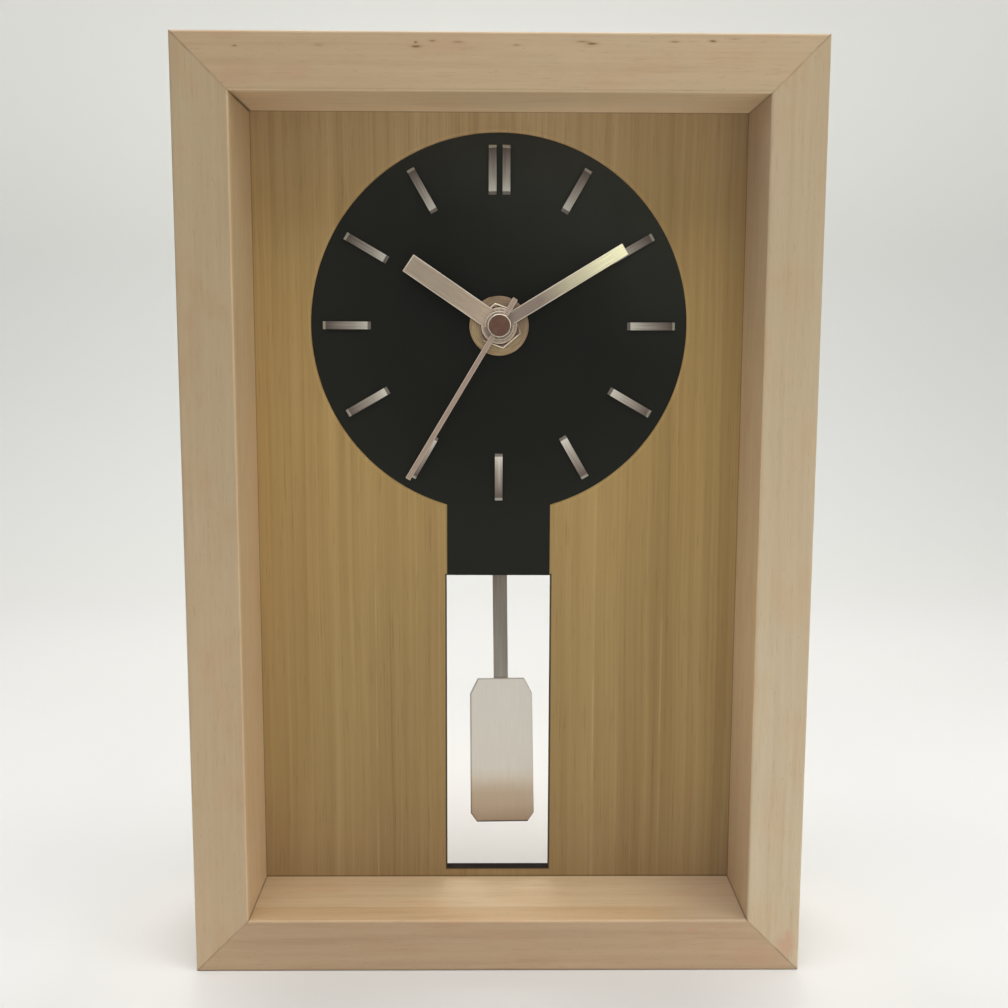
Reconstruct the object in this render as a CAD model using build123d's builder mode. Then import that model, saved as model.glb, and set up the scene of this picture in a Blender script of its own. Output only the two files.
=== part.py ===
from build123d import *
import math
import os

# Desk pendulum clock: an open mitred wooden frame, a dial board set in a rebate from the back,
# and a battery movement with a swinging pendulum behind the board.
# Millimetres. X runs to the right, Y from front to back, Z up from the surface it stands on.

# Wooden frame
frame_width = 150.0
frame_height = 225.0
frame_depth = 50.0
rail_thickness = 13.2
rail_edge_round = 0.7
recess_depth = 25.7
rebate_width = 7.0
nail_leg = 3.4
nail_thickness = 0.6
nail_length = 9.0
nail_corner_inset = 1.5

# Dial board with the pendulum window
board_thickness = 3.0
board_clearance = 0.1
point_width = 5.0
point_thickness = 0.5
point_bite = 3.2
point_reach = 4.5
point_corner_inset = 45.0
window_width = 27.0
window_height = 79.8
window_sill = 2.4

# Dial plate and hour batons
dial_radius = 47.4
dial_top_gap = 5.0
dial_thickness = 0.3
neck_width = 26.5
baton_length = 12.05
baton_width = 1.95
baton_thickness = 0.8
baton_end_bevel = 0.75
baton_edge_gap = 2.95
twelve_spacing = 3.45

# Fixing hardware at the centre of the dial
bush_radius = 4.0
bush_flange_radius = 5.6
bush_flange_thickness = 0.8
bush_projection = 0.9
hole_clearance = 0.2
washer_radius = 7.5
washer_thickness = 0.8
nut_across_flats = 10.0
nut_thickness = 2.2
nut_corner_angle = 280.0
nut_corner_trim = 0.2
nut_chamfer_angle = 30.0
cushion_radius = 12.0
cushion_thickness = 1.0

# Hands, at the time shown: degrees clockwise from twelve
hour_angle = 304.2
minute_angle = 58.7
second_angle = 210.9
hand_gap = 1.1
hour_hand_length = 27.3
hour_hand_width = 4.9
hour_hand_thickness = 0.5
hour_boss_radius = 4.5
minute_hand_length = 36.2
minute_hand_width = 3.1
minute_hand_thickness = 0.45
minute_boss_radius = 3.65
second_hand_length = 44.4
second_hand_width = 1.3
second_hand_tail_length = 7.7
second_hand_thickness = 0.35
cap_radius = 3.0
cap_thickness = 0.9
cap_edge_round = 0.35

# Concentric shafts: second arbor inside the cannon pipe inside the hour pipe inside the bush
shaft_clearance = 0.08
second_arbor_radius = 0.8
pipe_wall = 0.8
clutch_clearance = 0.02

# Wheel train
second_pinion_teeth = 8
third_wheel_teeth = 60
third_pinion_teeth = 8
centre_wheel_teeth = 64
cannon_teeth = 12
minute_wheel_teeth = 36
minute_pinion_teeth = 10
hour_wheel_teeth = 40
step_pinion_teeth = 12
second_wheel_teeth = 60
rotor_teeth = 10
step_wheel_teeth = 60
third_distance = 9.0
rotor_distance = 7.0
third_direction = 180.0
step_direction = 30.0
rotor_direction = 75.0
minute_direction = 115.0
addendum_ratio = 0.75
dedendum_ratio = 1.0
tooth_tip_ratio = 0.2
tooth_root_ratio = 0.48
wheel_width = 0.7
pinion_overhang = 0.15
layer_gap = 0.6
wheel_gap = 0.35
arbor_radius = 0.5
minute_arbor_radius = 1.2
pivot_radius = 0.35
pivot_clearance = 0.05
pivot_length = 1.5
boss_wall = 0.9
end_shake = 0.2

# Movement case
case_wall = 1.2
case_depth = 16.5
case_corner_round = 3.0
case_front_depth = 11.0
case_rise = 29.0
plate_thickness = 0.8
plate_width = 36.0
plate_top = 17.2
plate_bottom = 10.3
post_radius = 1.6
post_inset = 1.9
spigot_radius = 0.7
knob_radius = 5.0
knob_height = 2.9
knob_gap = 0.3
knob_flutes = 18
knob_flute_radius = 0.5
knob_ring_gap = 0.8
knob_ring_width = 0.9
knob_ring_height = 1.0
clip_width = 6.0
clip_thickness = 1.0
clip_reach = 4.6
clip_bar = 1.4
clip_clearance = 0.1
clip_height = 16.0

# Stepping motor and electronics
magnet_radius = 3.0
magnet_length = 2.5
stator_air_gap = 0.4
stator_ring = 1.6
stator_thickness = 1.0
leg_width = 3.0
leg_spacing = 20.0
coil_radius = 2.4
coil_flange = 0.5
coil_flange_width = 0.8
coil_end_gap = 0.4
pcb_width = 15.0
pcb_height = 16.5
pcb_thickness = 1.2
pcb_wall_gap = 1.3
pcb_depth = 9.0
crystal_radius = 1.0
crystal_length = 6.0

# Battery and its contacts
battery_radius = 7.1
battery_length = 49.0
battery_nub_radius = 2.6
battery_nub_length = 1.4
battery_edge_round = 0.6
battery_drop = 20.5
bay_clearance = 0.4
contact_thickness = 0.4
contact_width = 8.0
contact_bow = 3.6

# Pendulum and its drive
tail_width = 34.0
tail_height = 23.8
pivot_room = 3.8
pin_radius = 0.75
pin_boss_radius = 2.0
swing_limit = 7.0
pendulum_angle = 0.75
lever_thickness = 2.0
lever_depth = 5.4
lever_hub_radius = 2.8
lever_width = 5.0
lever_reach = 5.5
drive_drop = 11.5
drive_magnet_radius = 4.0
drive_magnet_thickness = 1.6
drive_seat_rim = 0.8
drive_air_gap = 0.6
drive_coil_radius = 6.0
drive_coil_width = 3.0
drive_core_radius = 2.0
slot_clearance = 0.6
hook_radius = 0.8
hook_inset = 2.0
rod_width = 3.85
rod_thickness = 0.5
eye_wall = 1.4
bob_height = 40.3
bob_shoulder_width = 16.7
bob_foot_width = 17.2
bob_shoulder_cut = (2.1, 4.2)
bob_foot_cut = (1.7, 2.5)
bob_thickness = 0.6
bob_sill_gap = 9.6
bob_rod_margin = 3.0

# Levels from front to back
frame_front = -frame_depth / 2
frame_back = frame_depth / 2
board_front = frame_front + recess_depth
board_back = board_front + board_thickness
dial_front = board_front - dial_thickness
washer_front = dial_front - washer_thickness
nut_front = washer_front - nut_thickness
bush_front = nut_front - bush_projection
hour_hand_back = bush_front - hand_gap / 2
hour_hand_front = hour_hand_back - hour_hand_thickness
minute_hand_back = hour_hand_front - hand_gap
minute_hand_front = minute_hand_back - minute_hand_thickness
second_hand_back = minute_hand_front - hand_gap
second_hand_front = second_hand_back - second_hand_thickness
movement_front = board_back + cushion_thickness

# Heights and openings
opening_width = frame_width - 2 * rail_thickness
opening_height = frame_height - 2 * rail_thickness
hub_height = frame_height - rail_thickness - dial_top_gap - dial_radius
window_bottom = rail_thickness + window_sill
window_top = window_bottom + window_height
frame_middle = frame_height / 2

# Depths inside the movement, measured back from its front face
hour_level = case_wall + bush_flange_thickness + wheel_gap
minute_level = hour_level + wheel_width + layer_gap
plate_front = minute_level + wheel_width + layer_gap
plate_back = plate_front + plate_thickness
centre_level = plate_back + layer_gap
third_level = centre_level + wheel_width + layer_gap
second_level = third_level + wheel_width + layer_gap
step_level = second_level + wheel_width + layer_gap
boss_front = step_level + wheel_width + wheel_gap
magnet_front = boss_front + end_shake
stator_front = magnet_front + (magnet_length - stator_thickness) / 2
stator_back = stator_front + stator_thickness
rear_wall = case_depth - case_wall

# Wheel centres and modules, each worked out from its pair's distance
second_pinion_module = 2 * third_distance / (second_pinion_teeth + third_wheel_teeth)
centre_module = 2 * third_distance / (third_pinion_teeth + centre_wheel_teeth)
centre_tip_radius = centre_module * (centre_wheel_teeth / 2 + addendum_ratio)
step_distance = centre_tip_radius + arbor_radius + wheel_gap
motion_distance = centre_tip_radius + minute_arbor_radius + wheel_gap
second_module = 2 * step_distance / (step_pinion_teeth + second_wheel_teeth)
rotor_module = 2 * rotor_distance / (rotor_teeth + step_wheel_teeth)
cannon_module = 2 * motion_distance / (cannon_teeth + minute_wheel_teeth)
hour_module = 2 * motion_distance / (minute_pinion_teeth + hour_wheel_teeth)


def polar(distance, direction):
    return (
        distance * math.cos(math.radians(direction)),
        distance * math.sin(math.radians(direction)),
    )


hub = (0.0, 0.0)
third_centre = polar(third_distance, third_direction)
step_centre = polar(step_distance, step_direction)
rotor_offset = polar(rotor_distance, rotor_direction)
rotor_centre = (step_centre[0] + rotor_offset[0], step_centre[1] + rotor_offset[1])
minute_centre = polar(motion_distance, minute_direction)

# Radii of the concentric shafts
cannon_bore = second_arbor_radius + shaft_clearance
cannon_radius = cannon_bore + pipe_wall
hour_bore = cannon_radius + shaft_clearance
hour_pipe_radius = hour_bore + pipe_wall
bush_bore = hour_pipe_radius + shaft_clearance
dial_hole_radius = bush_radius + hole_clearance

# Extents of the movement case about the hub
bay_half_length = (
    battery_length + battery_nub_length + contact_bow + 3 * contact_thickness + bay_clearance
) / 2
case_half_width = bay_half_length + case_wall
bay_half_height = battery_radius + bay_clearance
bay_top = bay_half_height - battery_drop
bay_bottom = -battery_drop - bay_half_height
case_bottom = bay_bottom - case_wall
gear_bottom = bay_top + case_wall
gear_top = case_rise - case_wall
tail_bottom = case_bottom - tail_height
pivot_height = case_bottom - pivot_room
drive_height = pivot_height - drive_drop
lever_bottom = tail_bottom - lever_reach
hook_height = lever_bottom + hook_inset
battery_depth = case_wall + bay_clearance / 2 + battery_radius

os.makedirs("parts", exist_ok=True)


def save(piece, name):
    piece.label = name
    export_step(piece, f"parts/{name}.step")


def facing(y, x=0.0, z=0.0):
    """A plane that faces the front of the clock."""
    return Plane(origin=(x, y, z), x_dir=(1, 0, 0), z_dir=(0, -1, 0))


def inside(depth, centre=hub):
    """A front-facing plane at a depth inside the movement, centred beside the hub."""
    return facing(movement_front + depth, centre[0], hub_height + centre[1])


def add_disc(plane, radius, length, mode=Mode.ADD):
    """A round boss, shaft or bore that runs forward from a plane."""
    with BuildSketch(plane) as face:
        Circle(radius)
    extrude(face.sketch, amount=length, mode=mode)


def add_shaft(centre, radius, front, back, mode=Mode.ADD):
    """A round length of a movement piece between two depths."""
    add_disc(inside(back, centre), radius, back - front, mode)


def add_block(left, right, bottom, top, front, back, mode=Mode.ADD):
    """A square-edged block or pocket of the movement between two depths."""
    with BuildSketch(inside(back)) as face:
        with Locations(((left + right) / 2, (bottom + top) / 2)):
            Rectangle(right - left, top - bottom)
    extrude(face.sketch, amount=back - front, mode=mode)


def add_gear(centre, teeth, module, tooth_angle, front, width):
    """A toothed wheel with one tooth on the line at tooth_angle."""
    pitch = 360 / teeth
    tip = module * (teeth / 2 + addendum_ratio)
    root = module * (teeth / 2 - dedendum_ratio)
    corners = []
    for tooth in range(teeth):
        middle = tooth_angle + tooth * pitch
        corners.append(polar(root, middle - tooth_root_ratio * pitch / 2))
        corners.append(polar(tip, middle - tooth_tip_ratio * pitch / 2))
        corners.append(polar(tip, middle + tooth_tip_ratio * pitch / 2))
        corners.append(polar(root, middle + tooth_root_ratio * pitch / 2))
    with BuildSketch(inside(front + width, centre)) as outline:
        with BuildLine():
            Polyline(*corners, close=True)
        make_face()
    extrude(outline.sketch, amount=width)


def add_pinion(centre, teeth, module, tooth_angle, level):
    """A pinion, a little wider than the wheel that it meshes with."""
    width = wheel_width + 2 * pinion_overhang
    add_gear(centre, teeth, module, tooth_angle, level - pinion_overhang, width)


def gap_angle(direction, teeth):
    """The tooth angle that leaves a gap between teeth on the line at direction."""
    return direction + 180 / teeth


def case_outline(depth):
    """The outline of the movement case: the clock part above and the pendulum part below."""
    with BuildSketch(inside(depth)) as outline:
        with Locations((0, (case_rise + case_bottom) / 2)):
            RectangleRounded(2 * case_half_width, case_rise - case_bottom, case_corner_round)
        with Locations((0, (tail_bottom + bay_bottom) / 2)):
            Rectangle(tail_width, bay_bottom - tail_bottom)
    return outline.sketch


# Corners of the mitred frame, outside and inside
outer_corners = (
    (-frame_width / 2, frame_height),
    (frame_width / 2, frame_height),
    (frame_width / 2, 0.0),
    (-frame_width / 2, 0.0),
)
inner_corners = (
    (-opening_width / 2, frame_height - rail_thickness),
    (opening_width / 2, frame_height - rail_thickness),
    (opening_width / 2, rail_thickness),
    (-opening_width / 2, rail_thickness),
)
rail_names = ("frame_top_rail", "frame_right_stile", "frame_bottom_rail", "frame_left_stile")

# An angle nail across each mitre, driven in from the back
with BuildPart() as corner_nails:
    for outer, inner in zip(outer_corners, inner_corners):
        side = math.copysign(1, inner[0] - outer[0])
        rise = math.copysign(1, inner[1] - outer[1])
        apex = (outer[0] + side * nail_corner_inset, outer[1] + rise * nail_corner_inset)
        with BuildSketch(facing(frame_back, *apex)) as angle:
            with Locations((side * nail_leg / 2, rise * nail_thickness / 2)):
                Rectangle(nail_leg, nail_thickness)
            with Locations((side * nail_thickness / 2, rise * nail_leg / 2)):
                Rectangle(nail_thickness, nail_leg)
        extrude(angle.sketch, amount=nail_length)
save(corner_nails.part, "corner_nails")

# Flat points pressed into the walls of the rebate, which hold the board from behind
rebate_half_width = opening_width / 2 + rebate_width
rebate_half_height = opening_height / 2 + rebate_width
point_places = []
for side in (-1, 1):
    for along in (-1, 1):
        up = along * (frame_height / 2 - point_corner_inset)
        point_places.append((side * rebate_half_width, frame_middle + up, (-side, 0, 0)))
        over = along * (frame_width / 2 - point_corner_inset)
        point_places.append((over, frame_middle + side * rebate_half_height, (0, 0, -side)))
with BuildPart() as board_points:
    for x, z, inward in point_places:
        point_plane = Plane(
            origin=(x, board_back + point_thickness, z),
            x_dir=inward,
            z_dir=(0, -1, 0),
        )
        with BuildSketch(point_plane) as outline:
            with BuildLine():
                Polyline(
                    (-point_bite, 0),
                    (0, point_width / 2),
                    (point_reach, point_width / 2),
                    (point_reach, -point_width / 2),
                    (0, -point_width / 2),
                    close=True,
                )
            make_face()
        extrude(outline.sketch, amount=point_thickness)
save(board_points.part, "board_points")

# Mitred rails, rebated from the back for the board
for number, rail_name in enumerate(rail_names):
    after = (number + 1) % len(rail_names)
    with BuildPart() as rail:
        with BuildSketch(facing(frame_back)):
            with BuildLine():
                Polyline(
                    outer_corners[number],
                    outer_corners[after],
                    inner_corners[after],
                    inner_corners[number],
                    close=True,
                )
            make_face()
        extrude(amount=frame_depth)
        long_axis = Axis.X if number % 2 == 0 else Axis.Z
        fillet(rail.edges().filter_by(long_axis), radius=rail_edge_round)
        with Locations((0, (board_front + frame_back) / 2, frame_middle)):
            Box(
                2 * rebate_half_width,
                frame_back - board_front,
                2 * rebate_half_height,
                mode=Mode.SUBTRACT,
            )
        add(corner_nails.part, mode=Mode.SUBTRACT)
        add(board_points.part, mode=Mode.SUBTRACT)
    save(rail.part, rail_name)

# Dial board, seated on the shoulder of the rebate all round
with BuildPart() as dial_board:
    with BuildSketch(facing(board_back)):
        with Locations((0, frame_middle)):
            Rectangle(
                2 * (rebate_half_width - board_clearance),
                2 * (rebate_half_height - board_clearance),
            )
        with Locations((0, (window_bottom + window_top) / 2)):
            Rectangle(window_width, window_height, mode=Mode.SUBTRACT)
        with Locations((0, hub_height)):
            Circle(dial_hole_radius, mode=Mode.SUBTRACT)
    extrude(amount=board_thickness)
save(dial_board.part, "dial_board")

# Keyhole-shaped dial plate: a disc whose neck runs down to the window
with BuildPart() as dial_plate:
    with BuildSketch(facing(board_front)):
        with Locations((0, hub_height)):
            Circle(dial_radius)
        with Locations((0, (hub_height + window_top) / 2)):
            Rectangle(neck_width, hub_height - window_top)
        with Locations((0, hub_height)):
            Circle(dial_hole_radius, mode=Mode.SUBTRACT)
    extrude(amount=dial_thickness)
save(dial_plate.part, "dial_plate")

# Hour batons with bevelled ends, two of them side by side at twelve
baton_middle = dial_radius - baton_edge_gap - baton_length / 2
baton_places = [(f"hour_baton_{hour:02d}", 90 - 30 * hour, 0.0) for hour in range(1, 12)]
baton_places.append(("hour_baton_12_left", 90, twelve_spacing / 2))
baton_places.append(("hour_baton_12_right", 90, -twelve_spacing / 2))
for baton_name, baton_angle, sideways in baton_places:
    across = polar(sideways, baton_angle + 90)
    along = polar(baton_middle, baton_angle)
    dial_point = facing(dial_front, along[0] + across[0], hub_height + along[1] + across[1])
    with BuildPart() as baton:
        with BuildSketch(dial_point) as footprint:
            Rectangle(baton_length, baton_width, rotation=baton_angle)
        extrude(footprint.sketch, amount=baton_thickness)
        front_face = baton.faces().sort_by(Axis.Y)[0]
        ends = front_face.edges().sort_by(SortBy.LENGTH)[:2]
        chamfer(ends, length=baton_end_bevel)
    save(baton.part, baton_name)

# Washer and nut that clamp the movement to the board
with BuildPart() as shaft_washer:
    add_disc(facing(dial_front, 0, hub_height), washer_radius, washer_thickness)
    add_disc(facing(dial_front, 0, hub_height), dial_hole_radius, washer_thickness, Mode.SUBTRACT)
save(shaft_washer.part, "shaft_washer")

with BuildPart() as shaft_nut:
    nut_corner_radius = nut_across_flats / math.sqrt(3)
    with BuildSketch(facing(washer_front, 0, hub_height)):
        RegularPolygon(nut_corner_radius, 6, rotation=nut_corner_angle)
        Circle(bush_radius, mode=Mode.SUBTRACT)
    extrude(amount=nut_thickness)
    nut_face_radius = nut_corner_radius - nut_corner_trim
    nut_slope = 1 / math.tan(math.radians(nut_chamfer_angle))
    with Locations(facing(washer_front, 0, hub_height).location):
        Cone(
            nut_face_radius + nut_thickness * nut_slope,
            nut_face_radius,
            nut_thickness,
            align=(Align.CENTER, Align.CENTER, Align.MIN),
            mode=Mode.INTERSECT,
        )
save(shaft_nut.part, "shaft_nut")

with BuildPart() as cushion_washer:
    with BuildSketch(inside(0)):
        Circle(cushion_radius)
        Circle(dial_hole_radius, mode=Mode.SUBTRACT)
    extrude(amount=cushion_thickness)
save(cushion_washer.part, "cushion_washer")

# Threaded brass bush, whose flange pulls up behind the front wall of the case
with BuildPart() as threaded_bush:
    flange_back = case_wall + bush_flange_thickness
    add_shaft(hub, bush_flange_radius, case_wall, flange_back)
    add_shaft(hub, bush_radius, bush_front - movement_front, case_wall)
    add_shaft(hub, bush_bore, bush_front - movement_front, flange_back, Mode.SUBTRACT)
save(threaded_bush.part, "threaded_bush")


def add_hand(back, thickness, angle, width, length, boss_radius, bore):
    """A flat square-ended hand with a round boss, pressed on its shaft."""
    direction = 90 - angle
    with BuildSketch(facing(back, 0, hub_height)) as outline:
        Circle(boss_radius)
        with Locations(polar(length / 2, direction)):
            Rectangle(length, width, rotation=direction)
        Circle(bore, mode=Mode.SUBTRACT)
    extrude(outline.sketch, amount=thickness)


# Hands
with BuildPart() as hour_hand:
    add_hand(
        hour_hand_back,
        hour_hand_thickness,
        hour_angle,
        hour_hand_width,
        hour_hand_length,
        hour_boss_radius,
        hour_pipe_radius,
    )
save(hour_hand.part, "hour_hand")

with BuildPart() as minute_hand:
    add_hand(
        minute_hand_back,
        minute_hand_thickness,
        minute_angle,
        minute_hand_width,
        minute_hand_length,
        minute_boss_radius,
        cannon_radius,
    )
save(minute_hand.part, "minute_hand")

with BuildPart() as second_hand:
    add_hand(
        second_hand_back,
        second_hand_thickness,
        second_angle,
        second_hand_width,
        second_hand_length,
        cap_radius - cap_edge_round,
        second_arbor_radius,
    )
    tail_direction = 270 - second_angle
    with BuildSketch(facing(second_hand_back, 0, hub_height)) as tail:
        with Locations(polar(second_hand_tail_length / 2, tail_direction)):
            Rectangle(second_hand_tail_length, second_hand_width, rotation=tail_direction)
        Circle(second_arbor_radius, mode=Mode.SUBTRACT)
    extrude(tail.sketch, amount=second_hand_thickness)
save(second_hand.part, "second_hand")

with BuildPart() as second_hand_cap:
    add_disc(facing(second_hand_front, 0, hub_height), cap_radius, cap_thickness)
    cap_front = second_hand_cap.faces().sort_by(Axis.Y)[0]
    fillet(cap_front.edges(), radius=cap_edge_round)
save(second_hand_cap.part, "second_hand_cap")

# Wheels on the hub line
second_hand_seat = second_hand_front - movement_front
minute_hand_seat = minute_hand_front - movement_front
hour_hand_seat = hour_hand_front - movement_front
cannon_back = centre_level + wheel_width + pinion_overhang

with BuildPart() as hour_wheel:
    hour_tooth_angle = gap_angle(minute_direction, hour_wheel_teeth)
    add_gear(hub, hour_wheel_teeth, hour_module, hour_tooth_angle, hour_level, wheel_width)
    add_shaft(hub, hour_pipe_radius, hour_hand_seat, hour_level)
    add_shaft(hub, hour_bore, hour_hand_seat, hour_level + wheel_width, Mode.SUBTRACT)
save(hour_wheel.part, "hour_wheel")

with BuildPart() as cannon_pinion:
    add_pinion(hub, cannon_teeth, cannon_module, minute_direction, minute_level)
    add_shaft(hub, cannon_radius, minute_hand_seat, cannon_back)
    add_shaft(hub, cannon_bore, minute_hand_seat, cannon_back, Mode.SUBTRACT)
save(cannon_pinion.part, "cannon_pinion")

with BuildPart() as centre_wheel:
    centre_tooth_angle = gap_angle(third_direction, centre_wheel_teeth)
    add_gear(hub, centre_wheel_teeth, centre_module, centre_tooth_angle, centre_level, wheel_width)
    clutch_bore = cannon_radius + clutch_clearance
    add_shaft(hub, clutch_bore, centre_level, centre_level + wheel_width, Mode.SUBTRACT)
save(centre_wheel.part, "centre_wheel")

with BuildPart() as second_wheel:
    second_tooth_angle = gap_angle(step_direction, second_wheel_teeth)
    add_gear(hub, second_wheel_teeth, second_module, second_tooth_angle, second_level, wheel_width)
    add_pinion(hub, second_pinion_teeth, second_pinion_module, third_direction, third_level)
    add_shaft(hub, second_arbor_radius, second_hand_seat, boss_front - end_shake)
    add_shaft(hub, pivot_radius, boss_front - end_shake, boss_front + pivot_length)
save(second_wheel.part, "second_wheel")


def add_arbor(centre, front, back):
    """A thin arbor with a pivot at each end, carried by the train plate and a rear boss."""
    add_shaft(centre, arbor_radius, front, back)
    add_shaft(centre, pivot_radius, plate_front, front)
    add_shaft(centre, pivot_radius, back, boss_front + pivot_length)


# Wheels beside the hub
arbor_front = plate_back + end_shake
arbor_back = boss_front - end_shake

with BuildPart() as third_wheel:
    third_tooth_angle = gap_angle(third_direction + 180, third_wheel_teeth)
    add_gear(
        third_centre,
        third_wheel_teeth,
        second_pinion_module,
        third_tooth_angle,
        third_level,
        wheel_width,
    )
    add_pinion(third_centre, third_pinion_teeth, centre_module, third_direction + 180, centre_level)
    add_arbor(third_centre, arbor_front, arbor_back)
save(third_wheel.part, "third_wheel")

with BuildPart() as step_wheel:
    step_tooth_angle = gap_angle(rotor_direction, step_wheel_teeth)
    add_gear(step_centre, step_wheel_teeth, rotor_module, step_tooth_angle, step_level, wheel_width)
    add_pinion(step_centre, step_pinion_teeth, second_module, step_direction + 180, second_level)
    add_arbor(step_centre, arbor_front, arbor_back)
save(step_wheel.part, "step_wheel")

with BuildPart() as rotor:
    add_pinion(rotor_centre, rotor_teeth, rotor_module, rotor_direction + 180, step_level)
    add_shaft(rotor_centre, arbor_radius, arbor_front, magnet_front)
    add_shaft(rotor_centre, pivot_radius, plate_front, arbor_front)
    magnet_back = magnet_front + magnet_length
    add_shaft(rotor_centre, magnet_radius, magnet_front, magnet_back)
    add_shaft(rotor_centre, pivot_radius, magnet_back, rear_wall + pivot_clearance)
save(rotor.part, "rotor")

with BuildPart() as minute_wheel:
    minute_tooth_angle = gap_angle(minute_direction + 180, minute_wheel_teeth)
    add_gear(
        minute_centre,
        minute_wheel_teeth,
        cannon_module,
        minute_tooth_angle,
        minute_level,
        wheel_width,
    )
    toward_hub = minute_direction + 180
    add_pinion(minute_centre, minute_pinion_teeth, hour_module, toward_hub, hour_level)
    add_shaft(minute_centre, minute_arbor_radius, case_wall + end_shake, case_depth + knob_gap)
    add_shaft(minute_centre, pivot_radius, case_wall / 2, case_wall + end_shake)
save(minute_wheel.part, "minute_wheel")

# Fluted setting knob on the end of the minute wheel's arbor
with BuildPart() as setting_knob:
    knob_back = case_depth + knob_gap + knob_height
    add_shaft(minute_centre, knob_radius, case_depth + knob_gap, knob_back)
    with BuildSketch(inside(knob_back, minute_centre)) as flutes:
        with PolarLocations(knob_radius, knob_flutes):
            Circle(knob_flute_radius)
    extrude(flutes.sketch, amount=knob_height, mode=Mode.SUBTRACT)
save(setting_knob.part, "setting_knob")

# Train plate on four spigots of the front case
post_places = [
    (side * (plate_width / 2 - post_inset), height)
    for side in (-1, 1)
    for height in (post_inset - plate_bottom, plate_top - post_inset)
]
with BuildPart() as train_plate:
    half_plate = plate_width / 2
    add_block(-half_plate, half_plate, -plate_bottom, plate_top, plate_front, plate_back)
    add_shaft(hub, cannon_radius + wheel_gap, plate_front, plate_back, Mode.SUBTRACT)
    arbor_hole = minute_arbor_radius + wheel_gap
    add_shaft(minute_centre, arbor_hole, plate_front, plate_back, Mode.SUBTRACT)
    for centre in (third_centre, step_centre, rotor_centre):
        pivot_hole = pivot_radius + pivot_clearance
        add_shaft(centre, pivot_hole, plate_front, plate_back, Mode.SUBTRACT)
    for place in post_places:
        add_shaft(place, spigot_radius, plate_front, plate_back, Mode.SUBTRACT)
save(train_plate.part, "train_plate")

# Stepping motor: stator with two legs, and a coil on a core across them
core_height = rotor_centre[1] + magnet_radius + stator_air_gap + stator_ring + coil_radius + 2 * coil_flange
core_half = (leg_spacing + leg_width) / 2
core_front = stator_front - stator_thickness
with BuildPart() as stator:
    ring_radius = magnet_radius + stator_air_gap + stator_ring
    add_block(
        rotor_centre[0] - core_half,
        rotor_centre[0] + core_half,
        rotor_centre[1] - ring_radius,
        rotor_centre[1] + ring_radius,
        stator_front,
        stator_back,
    )
    for side in (-1, 1):
        leg_middle = rotor_centre[0] + side * leg_spacing / 2
        add_block(
            leg_middle - leg_width / 2,
            leg_middle + leg_width / 2,
            rotor_centre[1],
            core_height + leg_width / 2,
            stator_front,
            stator_back,
        )
    air_radius = magnet_radius + stator_air_gap
    add_shaft(rotor_centre, air_radius, stator_front, stator_back, Mode.SUBTRACT)
save(stator.part, "stator")

with BuildPart() as coil_core:
    add_block(
        rotor_centre[0] - core_half,
        rotor_centre[0] + core_half,
        core_height - leg_width / 2,
        core_height + leg_width / 2,
        core_front,
        stator_front,
    )
save(coil_core.part, "coil_core")

with BuildPart() as motor_coil:
    coil_length = leg_spacing - leg_width - 2 * coil_end_gap
    core_depth = movement_front + (core_front + stator_front) / 2
    coil_end = rotor_centre[0] - coil_length / 2
    coil_plane = Plane(origin=(coil_end, core_depth, hub_height + core_height), z_dir=(1, 0, 0))
    add_disc(coil_plane, coil_radius, coil_length)
    add_disc(coil_plane, coil_radius + coil_flange, coil_flange_width)
    far_flange = coil_plane.offset(coil_length - coil_flange_width)
    add_disc(far_flange, coil_radius + coil_flange, coil_flange_width)
    with Locations((rotor_centre[0], core_depth, hub_height + core_height)):
        Box(
            coil_length,
            stator_thickness + 2 * pivot_clearance,
            leg_width + 2 * pivot_clearance,
            mode=Mode.SUBTRACT,
        )
save(motor_coil.part, "motor_coil")

# Circuit board on three spigots, with the crystal lying on its back
pcb_left = case_wall + pcb_wall_gap - case_half_width
pcb_top = gear_top - pcb_wall_gap
pcb_places = (
    (pcb_left + post_inset, pcb_top - post_inset),
    (pcb_left + post_inset, pcb_top - pcb_height + post_inset),
    (pcb_left + pcb_width - post_inset, pcb_top - post_inset),
)
pcb_back = pcb_depth + pcb_thickness
with BuildPart() as circuit_board:
    add_block(
        pcb_left,
        pcb_left + pcb_width,
        pcb_top - pcb_height,
        pcb_top,
        pcb_depth,
        pcb_back,
    )
    for place in pcb_places:
        add_shaft(place, spigot_radius, pcb_depth, pcb_back, Mode.SUBTRACT)
save(circuit_board.part, "circuit_board")

with BuildPart() as quartz_crystal:
    crystal_plane = Plane(
        origin=(
            pcb_left + pcb_width / 2,
            movement_front + pcb_back + crystal_radius,
            hub_height + pcb_top - (pcb_height - crystal_length) / 2 - crystal_length,
        )
    )
    add_disc(crystal_plane, crystal_radius, crystal_length)
    fillet(quartz_crystal.edges().sort_by(Axis.Z)[-1], radius=crystal_radius / 4)
save(quartz_crystal.part, "quartz_crystal")

# Battery between its two spring contacts
battery_right = bay_half_length - 2 * contact_thickness
battery_plane = Plane(
    origin=(battery_right, movement_front + battery_depth, hub_height - battery_drop),
    z_dir=(-1, 0, 0),
)
with BuildPart() as battery:
    add_disc(battery_plane, battery_nub_radius, battery_nub_length)
    add_disc(battery_plane.offset(battery_nub_length), battery_radius, battery_length)
    battery_rims = battery.edges().filter_by(GeomType.CIRCLE).filter_by(
        lambda rim: rim.radius > battery_nub_radius + battery_edge_round
    )
    fillet(battery_rims, radius=battery_edge_round)
save(battery.part, "battery")

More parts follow.
